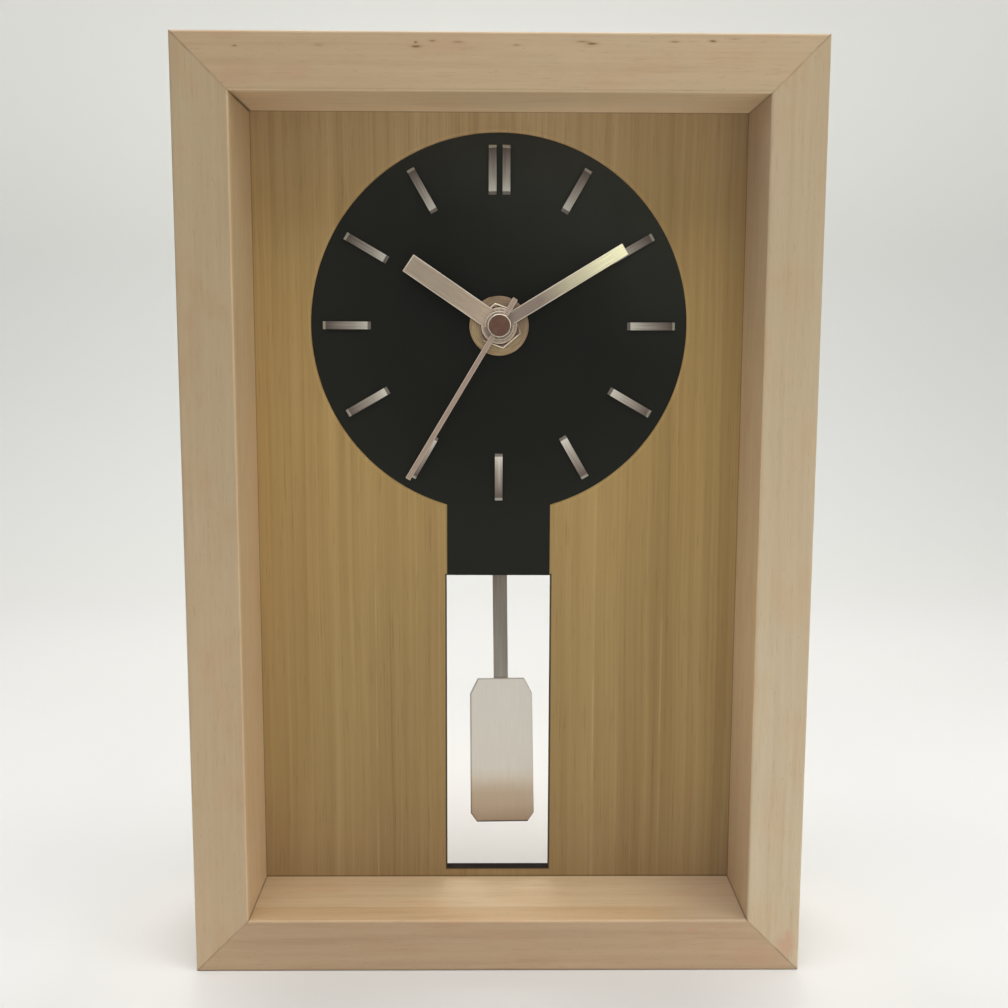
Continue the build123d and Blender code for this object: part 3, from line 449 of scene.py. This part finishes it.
def board_veneer():
    s = Surface("veneer", specular_ior_level=0.2)
    place = s.place()
    x, y, z = s.split(place)
    from_middle = s.absolute(x)

    # Grain, streaks and light lines
    sway = s.grain(place, (12, 0, 7), 2)
    bent = s.join(s.weighted((sway, 0.0035), start=x), y, z)
    fine = s.grain(bent, (1500, 0, 10), 4, roughness=0.6)
    lines = s.grain(bent, (420, 0, 5), 3, (0.13, 0.0, 0.4), roughness=0.55)
    broad = s.grain(bent, (60, 0, 3), 3, (0.7, 0.0, 0.2))
    pores = s.grain(bent, (2300, 0, 80), 2, (0.37, 0.0, 0.9))
    colour = s.ramp(
        s.weighted((fine, 0.26), (lines, 0.36), (broad, 0.38)),
        (0.30, srgb(146, 119, 76)),
        (0.44, srgb(163, 136, 89)),
        (0.55, srgb(174, 147, 98)),
        (0.70, srgb(188, 163, 114)),
    )
    colour = s.mix(s.fall(pores, 0.28, 0.42, 0.22), colour, VENEER_PORE)
    streak = s.grain(bent, (260, 0, 0.6), 1, (0.51, 0.0, 0.0))
    colour = s.mix(s.rise(streak, 0.70, 0.74, 0.4), colour, VENEER_STREAK)
    broken = s.span(s.grain(place, (90, 0, 45), 2), 0.38, 0.62, 0.06, 0.36)
    broken = s.product(broken, s.fall(z, 100 * MM, 125 * MM))
    for line_x in VENEER_LINES:
        line = s.product(broken, s.fall(s.absolute(s.minus(x, line_x)), 0.08 * MM, 0.30 * MM))
        colour = s.mix(line, colour, VENEER_LINE)

    # Painted light and shade: darker toward the bottom, lighter higher up with a bluish painted sheen
    # at the head, lighter at the left side and darker at the right; then a dark rim at the window and a
    # painted light rim round the dial against its shadow
    painted_light = s.ramp(
        s.share(z, 0.0, frame_height),
        (0.06, tint(0.86, 0.87, 1.04)),
        (0.18, tint(0.94, 0.95, 0.97)),
        (0.35, tint(1.00, 1.00, 1.00)),
        (0.55, tint(1.10, 1.10, 1.04)),
        (0.75, tint(1.12, 1.12, 1.10)),
        (0.86, tint(1.12, 1.14, 1.24)),
        (0.94, tint(1.24, 1.32, 1.76)),
    )
    colour = s.times(colour, painted_light)
    colour = s.tinted(s.rise(x, 50 * MM, 60 * MM), colour, tint(0.91, 0.92, 0.96))
    colour = s.tinted(s.fall(x, -62 * MM, -54 * MM), colour, grey(1.13))
    window_low = window_high - WINDOW_HEIGHT
    off_window = s.most(
        s.minus(from_middle, WINDOW_WIDTH / 2),
        s.minus(window_low, z),
        s.minus(z, window_high),
    )
    colour = s.mix(s.fall(off_window, 0.20 * MM, 0.46 * MM, 0.85), colour, WINDOW_RIM)
    # Painted light just outside the dial, against the dial's shadow
    radius, _ = s.around_hub()
    rim = s.fall(radius, dial_radius + 0.1 * MM, dial_radius + 1.2 * MM)
    colour = s.tinted(rim, colour, grey(1.26))

    # Painted shadow line where the board meets the frame, finer at the sides and the head than at the
    # sill
    to_frame = s.least(
        s.product(s.minus(opening_side, from_middle), 1.4),
        s.product(s.minus(z, opening_low), 0.6),
        s.product(s.minus(opening_high, z), 1.6),
    )
    colour = s.mix(s.fall(to_frame, 0.10 * MM, 0.36 * MM, 0.52), colour, FRAME_SHADE)

    _, normal_y, _ = s.split(s.normal())
    plain = s.mix(s.grain(place, (900, 0, 60), 4), srgb(142, 112, 76), srgb(166, 137, 98))
    colour = s.mix(s.rise(normal_y, 0.4, 0.6), colour, plain)
    edge = s.fall(s.absolute(normal_y), 0.4, 0.6)
    stain = s.mix(s.grain(place, 300), srgb(18, 13, 12), srgb(34, 26, 25))
    s.feed("Base Color", s.mix(edge, colour, stain))
    s.feed("Roughness", s.most(edge, s.span(fine, 0.3, 0.7, 0.56, 0.42)))
    s.bump(s.weighted((pores, 0.6), start=fine), 0.03 * MM, 0.4)
    return s.material


dress(board_veneer(), "dial_board")


# Dial plate: matt black lacquer over a fine tooth, with painted sheen: lighter toward the rim and a
# soft painted highlight toward its upper right
PAINTED_SHEEN_HEADING = 28.0


def dial_black():
    s = Surface("dial_lacquer", specular_ior_level=0.18)
    place = s.place()
    cloud = s.grain(place, 60)
    radius, _ = s.around_hub()
    # Painted sheen: darker in the middle, lighter toward the rim, brightest toward the upper right
    ground = s.mix(s.rise(radius, 24 * MM, 54 * MM), srgb(10, 11, 6), srgb(25, 27, 21))
    ground = s.mix(s.rise(s.toward(PAINTED_SHEEN_HEADING), 6 * MM, 50 * MM), ground, srgb(50, 51, 45))
    s.feed("Base Color", s.mix(s.product(cloud, 0.2), ground, srgb(34, 35, 30)))
    s.feed("Roughness", s.span(cloud, 0.3, 0.7, 0.44, 0.56))
    s.bump(s.grain(place, 4200, 2), 0.01 * MM, 0.35)
    return s.material


dress(dial_black(), "dial_plate")


# Brushed foil batons with painted reflection, bright at the inner end and dark at the outer end, and
# painted shade that darkens them toward the top; a plain facet at each end, the outer one painted light
# as a highlight and the inner one darker
BATON_INNER = dial_radius - 15.0 * MM
BATON_OUTER = dial_radius - 2.95 * MM


def baton_foil():
    s = Surface("baton_foil")
    radius, angle = s.around_hub()
    reach = s.share(radius, BATON_INNER, BATON_OUTER)
    lines = s.noise(s.join(s.product(angle, 190), s.product(radius, 90), 0.0), 3)
    # Painted reflection along the baton, and painted light and shade on the end facets
    colour = s.ramp(
        reach,
        (0.00, srgb(134, 128, 122)),
        (0.055, srgb(128, 122, 116)),
        (0.070, srgb(226, 221, 210)),
        (0.35, srgb(184, 175, 164)),
        (0.88, srgb(118, 106, 100)),
        (0.932, srgb(112, 101, 95)),
        (0.945, srgb(206, 206, 198)),
        (1.00, srgb(210, 210, 202)),
    )
    colour = s.times(colour, s.mix(s.rise(lines, 0.3, 0.7), grey(0.72), tint(1.10, 1.09, 1.08)))
    facet = s.most(s.fall(reach, 0.058, 0.066), s.rise(reach, 0.934, 0.942))
    _, _, z = s.split(s.place())
    # Painted shade: darker toward the top of the dial, the facets left out
    shade_by_height = s.ramp(
        s.share(z, hub[2] - dial_radius, hub[2] + dial_radius),
        (0.25, grey(1.02)),
        (0.50, grey(0.73)),
        (0.72, grey(0.63)),
        (0.92, grey(0.56)),
    )
    s.feed("Base Color", s.tinted(s.minus(1.0, facet), colour, shade_by_height))
    s.feed("Metallic", s.weighted((facet, -0.7), start=0.9))
    s.feed("Roughness", s.weighted((lines, 0.16), start=0.28))
    s.bump(lines, 0.015 * MM, 0.4)
    return s.material


dress(baton_foil(), *batons)


# Hands brushed along their length, with painted highlights on their edges and rims, and painted
# reflection from the near to the far colour, brightest at the minute hand's tip
HAND_HIGHLIGHT = srgb(236, 226, 212)


def brushed(name, near, far, start, end, heading, width, length, boss, edge=0.36 * MM, highlight_strength=0.55):
    s = Surface(name, metallic=0.9)
    along = s.toward(heading)
    across = s.absolute(s.toward(heading + 90))
    radius, _ = s.around_hub()
    lines = s.noise(s.join(s.product(across, 4600), s.product(along, 150), 0.0), 3)
    # Painted reflection from the near to the far colour along the hand
    colour = s.mix(s.share(along, start, end), near, far)
    shade = s.mix(s.rise(lines, 0.3, 0.7), tint(0.82, 0.81, 0.80), tint(1.08, 1.07, 1.06))
    colour = s.times(colour, shade)
    scuff = s.rise(s.grain(s.place(), 420), 0.55, 0.75, 0.25)
    colour = s.tinted(scuff, colour, tint(0.86, 0.80, 0.78))
    # Painted highlights along the sides, at the tip and round the boss rim
    on_arm = s.rise(radius, boss - 0.04 * MM, boss + 0.04 * MM)
    sides = s.rise(across, width / 2 - edge, width / 2 - edge / 3)
    tip = s.rise(along, length - edge, length - edge / 3)
    rim = s.product(
        s.rise(radius, boss - edge, boss - edge / 3),
        s.rise(across, width / 2 - 0.05 * MM, width / 2 + 0.05 * MM),
        s.minus(1.0, on_arm),
    )
    bright = s.most(s.product(s.most(sides, tip), on_arm), rim)
    s.feed("Base Color", s.mix(s.product(bright, highlight_strength), colour, HAND_HIGHLIGHT))
    s.feed("Roughness", s.weighted((lines, 0.16), start=0.34))
    s.bump(lines, 0.015 * MM, 0.4)
    return s.material


hand_looks = {
    "hour_hand": dict(
        near=srgb(183, 165, 147),
        far=srgb(165, 151, 135),
        start=4 * MM,
        end=15 * MM,
        heading=304.2,
        width=4.9 * MM,
        length=27.3 * MM,
        boss=4.5 * MM,
    ),
    "minute_hand": dict(
        near=srgb(143, 129, 119),
        far=srgb(255, 252, 212),
        start=12 * MM,
        end=35 * MM,
        heading=58.7,
        width=3.1 * MM,
        length=36.2 * MM,
        boss=3.65 * MM,
    ),
    "second_hand": dict(
        near=srgb(166, 146, 134),
        far=srgb(172, 153, 138),
        start=4 * MM,
        end=44 * MM,
        heading=210.9,
        width=1.3 * MM,
        length=44.4 * MM,
        boss=2.65 * MM,
        edge=0.25 * MM,
        highlight_strength=0.4,
    ),
}
for hand, look in hand_looks.items():
    dress(brushed(hand + "_metal", **look), hand)


# Polished cap: dark red-brown centre in a bright rim; the centre's red-brown is painted reflection
CAP_RIM = 2.64 * MM


def cap_enamel():
    s = Surface("cap_enamel", coat_weight=0.6, coat_roughness=0.08)
    radius, _ = s.around_hub()
    rim = s.rise(radius, CAP_RIM - 0.04 * MM, CAP_RIM + 0.04 * MM)
    cloud = s.grain(s.place(), 700)
    # Painted reflection: the centre's dark red-brown
    centre = s.mix(cloud, srgb(79, 40, 16), srgb(96, 53, 27))
    s.feed("Base Color", s.mix(rim, centre, srgb(196, 186, 170)))
    s.feed("Metallic", rim)
    s.feed("Roughness", s.span(cloud, 0.3, 0.7, 0.20, 0.30))
    return s.material


dress(cap_enamel(), "second_hand_cap")


# Turned metals: fine rings about the hub line, and for the washer a painted sheen toward its lower left
# with painted shade across from it
Sheen = namedtuple("Sheen", "heading reach shaded lit")


def turned(name, light, dark, sheen=None):
    s = Surface(name, metallic=1.0)
    radius, angle = s.around_hub()
    ring = s.noise(s.join(s.product(radius, 5200), s.product(angle, 1.5), 0.0), 3)
    colour = s.mix(s.rise(ring, 0.3, 0.7), dark, light)
    colour = s.mix(s.rise(s.grain(s.place(), 240), 0.45, 0.8, 0.35), colour, dark)
    if sheen:
        # Painted sheen toward the heading, painted shade across from it
        facing = s.share(s.toward(sheen.heading), -sheen.reach, sheen.reach)
        colour = s.times(colour, s.mix(facing, sheen.shaded, sheen.lit))
    s.feed("Base Color", colour)
    s.feed("Roughness", s.span(ring, 0.2, 0.8, 0.22, 0.4))
    s.bump(ring, 0.012 * MM, 0.4)
    return s.material


washer_sheen = Sheen(215.0, 5.0 * MM, tint(0.66, 0.61, 0.64), tint(0.95, 0.90, 0.81))
washer_plating = turned("plated_washer", srgb(179, 161, 132), srgb(151, 131, 106), washer_sheen)
dress(washer_plating, "shaft_washer")
dress(turned("turned_brass", srgb(206, 178, 112), srgb(158, 128, 72)), "threaded_bush")


# Plated nut: dull turned face, bright edges painted as a highlight, strongest toward the bottom and the
# top, and darker flats
NUT_HALF_ACROSS = 5.0 * MM
NUT_FLAT_HEADINGS = (140.0, 80.0, 20.0)
NUT_GLINT_HEADING = 165.0


def plated_nut():
    s = Surface("plated_nut", metallic=1.0)
    place = s.place()
    radius, angle = s.around_hub()
    ring = s.noise(s.join(s.product(radius, 4200), s.product(angle, 2.0), 0.0), 3)
    face = s.mix(s.rise(ring, 0.3, 0.7), srgb(98, 74, 66), srgb(138, 112, 100))
    flats = s.mix(s.grain(place, (900, 300, 900)), srgb(116, 100, 86), srgb(146, 130, 112))
    # Painted highlight on the edges, strongest toward the bottom and the top
    off_glint = s.minus(angle, math.radians(NUT_GLINT_HEADING))
    glint = s.rise(s.absolute(s.math("COSINE", off_glint)), 0.30, 0.80)
    glint = s.product(glint, s.span(s.grain(place, 500, 2), 0.30, 0.50, 0.6, 1.0))
    rim = s.mix(glint, srgb(140, 120, 104), srgb(236, 226, 204))
    reach = s.most(*(s.absolute(s.toward(heading)) for heading in NUT_FLAT_HEADINGS))
    colour = s.mix(s.rise(reach, NUT_HALF_ACROSS - 0.34 * MM, NUT_HALF_ACROSS - 0.24 * MM), face, rim)
    _, normal_y, _ = s.split(s.normal())
    front = s.product(normal_y, -1.0)
    s.feed("Base Color", s.mix(s.fall(front, 0.08, 0.40), colour, flats))
    s.feed("Roughness", s.span(ring, 0.2, 0.8, 0.24, 0.38))
    s.bump(ring, 0.012 * MM, 0.4)
    return s.material


dress(plated_nut(), "shaft_nut")


# Straight-brushed sheet metals
PENDULUM_LEAN = math.radians(0.75)


def painted_along_pendulum(s, place, colour, low, high, stops):
    """Painted light and shade as tints from low to high along the leaning pendulum, and fine scuffs."""
    x, _, z = s.split(place)
    along = s.weighted((x, -math.tan(PENDULUM_LEAN)), start=z)
    colour = s.times(colour, s.ramp(s.share(along, low, high), *stops))
    scuffs = s.rise(s.grain(place, (900, 900, 480), 4, roughness=0.7), 0.66, 0.74, 0.26)
    return s.tinted(scuffs, colour, tint(0.6, 0.58, 0.56))


def shade_inside_outline(s, place, colour, middle, corners):
    """Painted shade: a dark rim inside a leaning outline, whose right half is given from the top to the
    bottom.
    """
    offset = s.vector("SUBTRACT", place, middle)
    sine, cosine = math.sin(PENDULUM_LEAN), math.cos(PENDULUM_LEAN)
    out = s.absolute(s.vector("DOT_PRODUCT", offset, (cosine, 0.0, sine)))
    up = s.vector("DOT_PRODUCT", offset, (-sine, 0.0, cosine))
    spot = s.join(out, 0.0, up)
    gaps = []
    for (out_1, up_1), (out_2, up_2) in zip(corners, corners[1:]):
        length = math.hypot(out_2 - out_1, up_2 - up_1)
        normal = ((up_1 - up_2) / length, 0.0, (out_2 - out_1) / length)
        edge = out_1 * normal[0] + up_1 * normal[2]
        gaps.append(s.minus(edge, s.vector("DOT_PRODUCT", spot, normal)))
    return s.tinted(s.fall(s.least(*gaps), 0.12 * MM, 0.34 * MM, 0.8), colour, tint(0.46, 0.42, 0.40))


def sheet_metal(name, light, dark, lines, roughness, painted_light=None, outline=None):
    s = Surface(name, metallic=1.0)
    place = s.place()
    streak = s.grain(place, lines)
    colour = s.mix(s.rise(streak, 0.3, 0.7), dark, light)
    if painted_light:
        colour = painted_along_pendulum(s, place, colour, *painted_light)
    if outline:
        colour = shade_inside_outline(s, place, colour, *outline)
    s.feed("Base Color", s.mix(s.rise(s.grain(place, 90), 0.5, 0.8, 0.18), colour, dark))
    s.feed("Roughness", s.span(streak, 0.25, 0.75, roughness - 0.07, roughness + 0.07))
    s.bump(streak, 0.012 * MM, 0.35)
    return s.material


bob_low, bob_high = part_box("pendulum_bob")
# Painted light on the bob: painted shade along the bottom edge, then a brown painted reflection of the
# wood up its lower third
bob_painted_light = (
    (0.000, tint(0.24, 0.23, 0.25)),
    (0.010, tint(0.24, 0.23, 0.25)),
    (0.014, tint(0.62, 0.53, 0.46)),
    (0.07, tint(0.67, 0.58, 0.50)),
    (0.12, tint(0.75, 0.64, 0.55)),
    (0.20, tint(0.77, 0.66, 0.55)),
    (0.25, tint(0.83, 0.75, 0.65)),
    (0.32, tint(0.96, 0.92, 0.86)),
    (0.38, tint(0.99, 0.99, 0.98)),
    (1.00, tint(0.92, 0.92, 0.92)),
)
# Painted shade on the rod, lighter just above the bob and darker toward the top
rod_painted_shade = (
    (0.00, tint(1.12, 1.15, 1.15)),
    (0.12, tint(1.05, 1.07, 1.06)),
    (1.00, tint(0.80, 0.76, 0.74)),
)
BOB_TOP = 20.15 * MM
BOB_SHOULDER = 15.95 * MM
BOB_ANKLE = -17.65 * MM
bob_corners = (
    (0.0, BOB_TOP),
    (6.25 * MM, BOB_TOP),
    (8.35 * MM, BOB_SHOULDER),
    (8.60 * MM, BOB_ANKLE),
    (6.90 * MM, -BOB_TOP),
    (0.0, -BOB_TOP),
)
bob_satin = sheet_metal(
    "bob_satin",
    srgb(231, 226, 217),
    srgb(225, 220, 211),
    (3200, 0, 90),
    0.34,
    painted_light=(bob_low.z, bob_high.z, bob_painted_light),
    outline=(tuple((bob_low + bob_high) / 2), bob_corners),
)
rod_steel = sheet_metal(
    "rod_steel",
    srgb(152, 145, 136),
    srgb(134, 127, 119),
    (2600, 400, 60),
    0.40,
    painted_light=(bob_high.z, window_high, rod_painted_shade),
)
bright_steel = sheet_metal(
    "plated_steel",
    srgb(196, 196, 194),
    srgb(160, 160, 158),
    (500, 2400, 500),
    0.32,
)
crystal_can = sheet_metal(
    "crystal_can",
    srgb(206, 206, 208),
    srgb(184, 184, 186),
    (900, 900, 120),
    0.2,
)
dress(bob_satin, "pendulum_bob")
dress(rod_steel, "pendulum_rod")
dress(crystal_can, "quartz_crystal")
dress(
    bright_steel,
    "corner_nails",
    "board_points",
    "pivot_pin",
    "stator",
    "coil_core",
    "battery_contact_plus",
    "battery_contact_minus",
)


# Moulded plastics: fine spark texture with slight mould clouding
def moulded(name, light, dark, roughness, texture=2600, depth=0.02 * MM):
    s = Surface(name)
    place = s.place()
    spark = s.grain(place, texture, roughness=0.6)
    cloud = s.grain(place, 45)
    s.feed("Base Color", s.mix(s.weighted((cloud, 0.6), (spark, 0.4)), dark, light))
    s.feed("Roughness", s.span(cloud, 0.3, 0.7, roughness - 0.06, roughness + 0.06))
    s.bump(spark, depth, 0.5)
    return s.material


case_moulding = moulded("case_moulding", srgb(46, 46, 48), srgb(30, 30, 32), 0.5, depth=0.035 * MM)
dress(case_moulding, "movement_case", "movement_cover")
dress(moulded("lever_moulding", srgb(56, 56, 58), srgb(40, 40, 42), 0.45), "pendulum_lever")
dress(moulded("knob_moulding", srgb(214, 212, 204), srgb(198, 196, 188), 0.42), "setting_knob")
dress(moulded("rubber", srgb(40, 40, 40), srgb(24, 24, 24), 0.75, 1800, 0.05 * MM), "cushion_washer")
dress(
    moulded("wheel_resin", srgb(232, 228, 216), srgb(214, 210, 197), 0.4),
    "hour_wheel",
    "cannon_pinion",
    "centre_wheel",
    "third_wheel",
    "second_wheel",
    "step_wheel",
    "minute_wheel",
    "train_plate",
)
dress(moulded("magnet_grey", srgb(74, 74, 78), srgb(52, 52, 55), 0.4, 1500), "rotor", "pendulum_magnet")
dress(moulded("circuit_laminate", srgb(52, 92, 58), srgb(36, 70, 42), 0.4, 1200), "circuit_board")


# Enamelled copper windings: close turns along the coil, darker between the turns in painted shade
WIRE_PITCH = 0.16 * MM


def winding(name, axis):
    s = Surface(name, metallic=0.8)
    place = s.place()
    along = s.split(place)[AXES.index(axis)]
    turns = s.math("SINE", s.product(along, 2 * math.pi / WIRE_PITCH))
    height = s.weighted((turns, 0.5), start=0.5)
    # Painted shade in the grooves between turns, lighter on their crests
    s.feed("Base Color", s.mix(height, srgb(120, 62, 34), srgb(196, 118, 72)))
    s.feed("Roughness", s.span(s.grain(place, 300, 2), 0.3, 0.7, 0.26, 0.38))
    s.bump(height, 0.05 * MM, 0.7)
    return s.material


dress(winding("motor_winding", "X"), "motor_coil")
dress(winding("drive_winding", "Y"), "drive_coil")


# Battery: plain wrapped jacket with a light band, and a bare metal top and base
def battery_jacket():
    s = Surface("battery_jacket")
    low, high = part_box("battery")
    place = s.place()
    x, _, _ = s.split(place)
    from_top = s.minus(high.x, x)
    wrap = s.grain(place, (40, 300, 300))
    jacket = s.mix(wrap, srgb(58, 66, 74), srgb(70, 79, 88))
    band = s.product(s.rise(from_top, 10.8 * MM, 11.0 * MM), s.fall(from_top, 13.0 * MM, 13.2 * MM))
    jacket = s.mix(band, jacket, srgb(168, 168, 166))
    bare = s.most(s.fall(from_top, 2.0 * MM, 2.1 * MM), s.fall(x, low.x + 0.5 * MM, low.x + 0.6 * MM))
    s.feed("Base Color", s.mix(bare, jacket, srgb(190, 190, 188)))
    s.feed("Metallic", s.most(bare, s.product(band, 0.7)))
    s.feed("Roughness", s.span(wrap, 0.3, 0.7, 0.26, 0.36))
    return s.material


dress(battery_jacket(), "battery")


# Eased edges that catch the light
WELD_REACH = 0.002 * MM


def ease(width, segments, *names, angle=35.0):
    for name in names:
        modifiers = nodes[name].modifiers
        modifiers.new("join_faces", "WELD").merge_threshold = WELD_REACH
        bevel = modifiers.new("eased_edges", "BEVEL")
        bevel.width = width
        bevel.segments = segments
        bevel.limit_method = "ANGLE"
        bevel.angle_limit = math.radians(angle)
        modifiers.new("even_normals", "WEIGHTED_NORMAL")


ease(0.14 * MM, 1, *wood_looks)
ease(0.10 * MM, 2, *hand_looks)
ease(0.06 * MM, 1, *batons)
ease(0.08 * MM, 2, "pendulum_bob", "pendulum_rod")
ease(0.12 * MM, 2, "shaft_washer", "shaft_nut")
ease(0.15 * MM, 2, "movement_case", "movement_cover", "setting_knob", angle=50.0)

# Floor that sweeps up into a backdrop
FLOOR_FRONT = -1.6
FLOOR_SIDE = 1.8
COVE_START = 0.40
COVE_RADIUS = 0.22
WALL_TOP = 1.3
COVE_STEPS = 24
BACKGROUND = srgb(213, 214, 209)

profile = [(FLOOR_FRONT, 0.0), (COVE_START, 0.0)]
for step in range(1, COVE_STEPS + 1):
    turn = math.pi / 2 * step / COVE_STEPS
    profile.append((COVE_START + COVE_RADIUS * math.sin(turn), COVE_RADIUS * (1 - math.cos(turn))))
profile.append((COVE_START + COVE_RADIUS, WALL_TOP))
sweep_points = []
sweep_faces = []
for number, (depth, height) in enumerate(profile):
    sweep_points.append((-FLOOR_SIDE, depth, height))
    sweep_points.append((FLOOR_SIDE, depth, height))
    if number:
        start = 2 * number - 2
        sweep_faces.append((start, start + 1, start + 3, start + 2))
sweep_mesh = bpy.data.meshes.new("sweep")
sweep_mesh.from_pydata(sweep_points, [], sweep_faces)
for face in sweep_mesh.polygons:
    face.use_smooth = True
sweep = bpy.data.objects.new("sweep", sweep_mesh)
bpy.context.scene.collection.objects.link(sweep)


def sweep_paper():
    s = Surface("sweep_paper", roughness=0.9, specular_ior_level=0.1)
    place = s.place()
    across, depth, height = s.split(place)
    aside = s.absolute(across)

    # Floor near the clock, lighter behind it and at its sides in painted light against the clock's
    # shadow and a little darker far to the sides, then the floor beyond, darker, and the wall, lighter
    # toward the top and darker to the right: painted light and shade on even paper
    near = s.mix(s.grain(place, 6), srgb(212, 212, 211), srgb(216, 216, 215))
    # Painted light behind the clock and beside it, where its shadow falls
    behind_clock = s.product(s.fall(aside, 0.02, 0.10), s.rise(depth, 0.01, 0.06))
    near = s.mix(behind_clock, near, srgb(224, 223, 221))
    near = s.mix(s.rise(aside, 0.090, 0.140), near, srgb(210, 211, 211))
    at_side = s.product(
        s.rise(aside, 0.040, 0.075),
        s.fall(aside, 0.076, 0.108),
        s.fall(depth, 0.0, 0.04),
        s.rise(depth, -0.10, -0.04),
    )
    near = s.mix(at_side, near, srgb(225, 225, 224))
    # Painted shade: the floor beyond darker, the wall lighter toward the top and darker to the right
    floor = s.mix(s.rise(depth, 0.08, 0.24), near, srgb(205, 205, 204))
    wall = s.mix(s.rise(height, 0.10, 0.42), srgb(204, 206, 204), srgb(221, 222, 219))
    wall = s.tinted(s.rise(across, -0.1, 0.4), wall, grey(0.94))
    s.feed("Base Color", s.mix(s.rise(depth, 0.36, 0.56), floor, wall))

    # Far to the front and sides it melts into the plain background
    distance = s.vector("LENGTH", s.join(across, s.least(depth, 0.0), 0.0))
    plain = s.product(s.seen(), s.rise(distance, 0.45, 1.25))
    away = s.node("Emission", BACKGROUND)
    blend = s.node("MixShader", plain, s.shader.outputs[0], away.outputs[0])
    s.plug(s.tree.nodes["Material Output"].inputs["Surface"], blend.outputs[0])
    return s.material


sweep_mesh.materials.append(sweep_paper())

# Soft studio light
LAMP_WHITE = (1.0, 0.985, 0.96)
CLOCK_MIDDLE = (0.0, 0.0, 0.11)
FLOOR_BEHIND = (0.0, 0.05, 0.0)


def lamp(name, place, target, size, power):
    data = bpy.data.lights.new(name, "AREA")
    data.shape = "RECTANGLE"
    data.size, data.size_y = size
    data.energy = power
    data.color = LAMP_WHITE
    light = bpy.data.objects.new(name, data)
    light.location = place
    aim = Vector(target) - Vector(place)
    light.rotation_mode = "QUATERNION"
    light.rotation_quaternion = aim.to_track_quat("-Z", "Y")
    bpy.context.scene.collection.objects.link(light)


lamp("top", (0.05, -0.50, 1.25), CLOCK_MIDDLE, (1.4, 0.9), 10.6)
lamp("over", (0.0, 0.12, 1.30), CLOCK_MIDDLE, (1.4, 0.9), 7.0)
lamp("right", (1.1, -0.55, 0.50), CLOCK_MIDDLE, (0.9, 0.9), 3.4)
lamp("left", (-1.1, -0.55, 0.50), CLOCK_MIDDLE, (0.9, 0.9), 1.6)
lamp("front", (0.0, -1.40, 0.70), CLOCK_MIDDLE, (1.2, 0.9), 2.0)
lamp("back", (0.0, 0.33, 0.55), FLOOR_BEHIND, (0.35, 0.25), 1.3)

# World: a dim even fill, which itself shows as the plain background
FILL_COLOUR = (1.0, 0.99, 0.97, 1.0)
FILL_STRENGTH = 0.17

world = bpy.data.worlds.new("studio")
bpy.context.scene.world = world
world.use_nodes = True
world.node_tree.nodes.clear()
sky = Nodes(world.node_tree)
fill = sky.node("Background", FILL_COLOUR, FILL_STRENGTH)
shown = sky.node("Background", BACKGROUND, 1.0)
choice = sky.node("MixShader", sky.seen(), fill.outputs[0], shown.outputs[0])
sky.node("OutputWorld", choice.outputs[0])

# Camera at the photographed angle
CAMERA_PLACE = Vector((-2.32, -318.08, 156.52)) * MM
CAMERA_PITCH = 0.13266
CAMERA_YAW = 0.01166
CAMERA_ROLL = 0.00347
FOCAL_PIXELS = 1248.1
IMAGE_WIDTH = 1008
SENSOR = 36.0

forward = Vector((
    math.sin(CAMERA_YAW) * math.cos(CAMERA_PITCH),
    math.cos(CAMERA_YAW) * math.cos(CAMERA_PITCH),
    -math.sin(CAMERA_PITCH),
))
level = Vector((math.cos(CAMERA_YAW), -math.sin(CAMERA_YAW), 0.0))
upright = level.cross(forward)
right = math.cos(CAMERA_ROLL) * level + math.sin(CAMERA_ROLL) * upright
up = math.cos(CAMERA_ROLL) * upright - math.sin(CAMERA_ROLL) * level
camera_data = bpy.data.cameras.new("camera")
camera_data.sensor_width = SENSOR
camera_data.lens = FOCAL_PIXELS / IMAGE_WIDTH * SENSOR
camera_data.clip_start = 0.01
camera_data.clip_end = 20.0
camera = bpy.data.objects.new("camera", camera_data)
turned_axes = Matrix((right, up, -forward)).transposed().to_4x4()
camera.matrix_world = Matrix.Translation(CAMERA_PLACE) @ turned_axes
bpy.context.scene.collection.objects.link(camera)
bpy.context.scene.camera = camera

bpy.context.scene.view_settings.view_transform = "Standard"
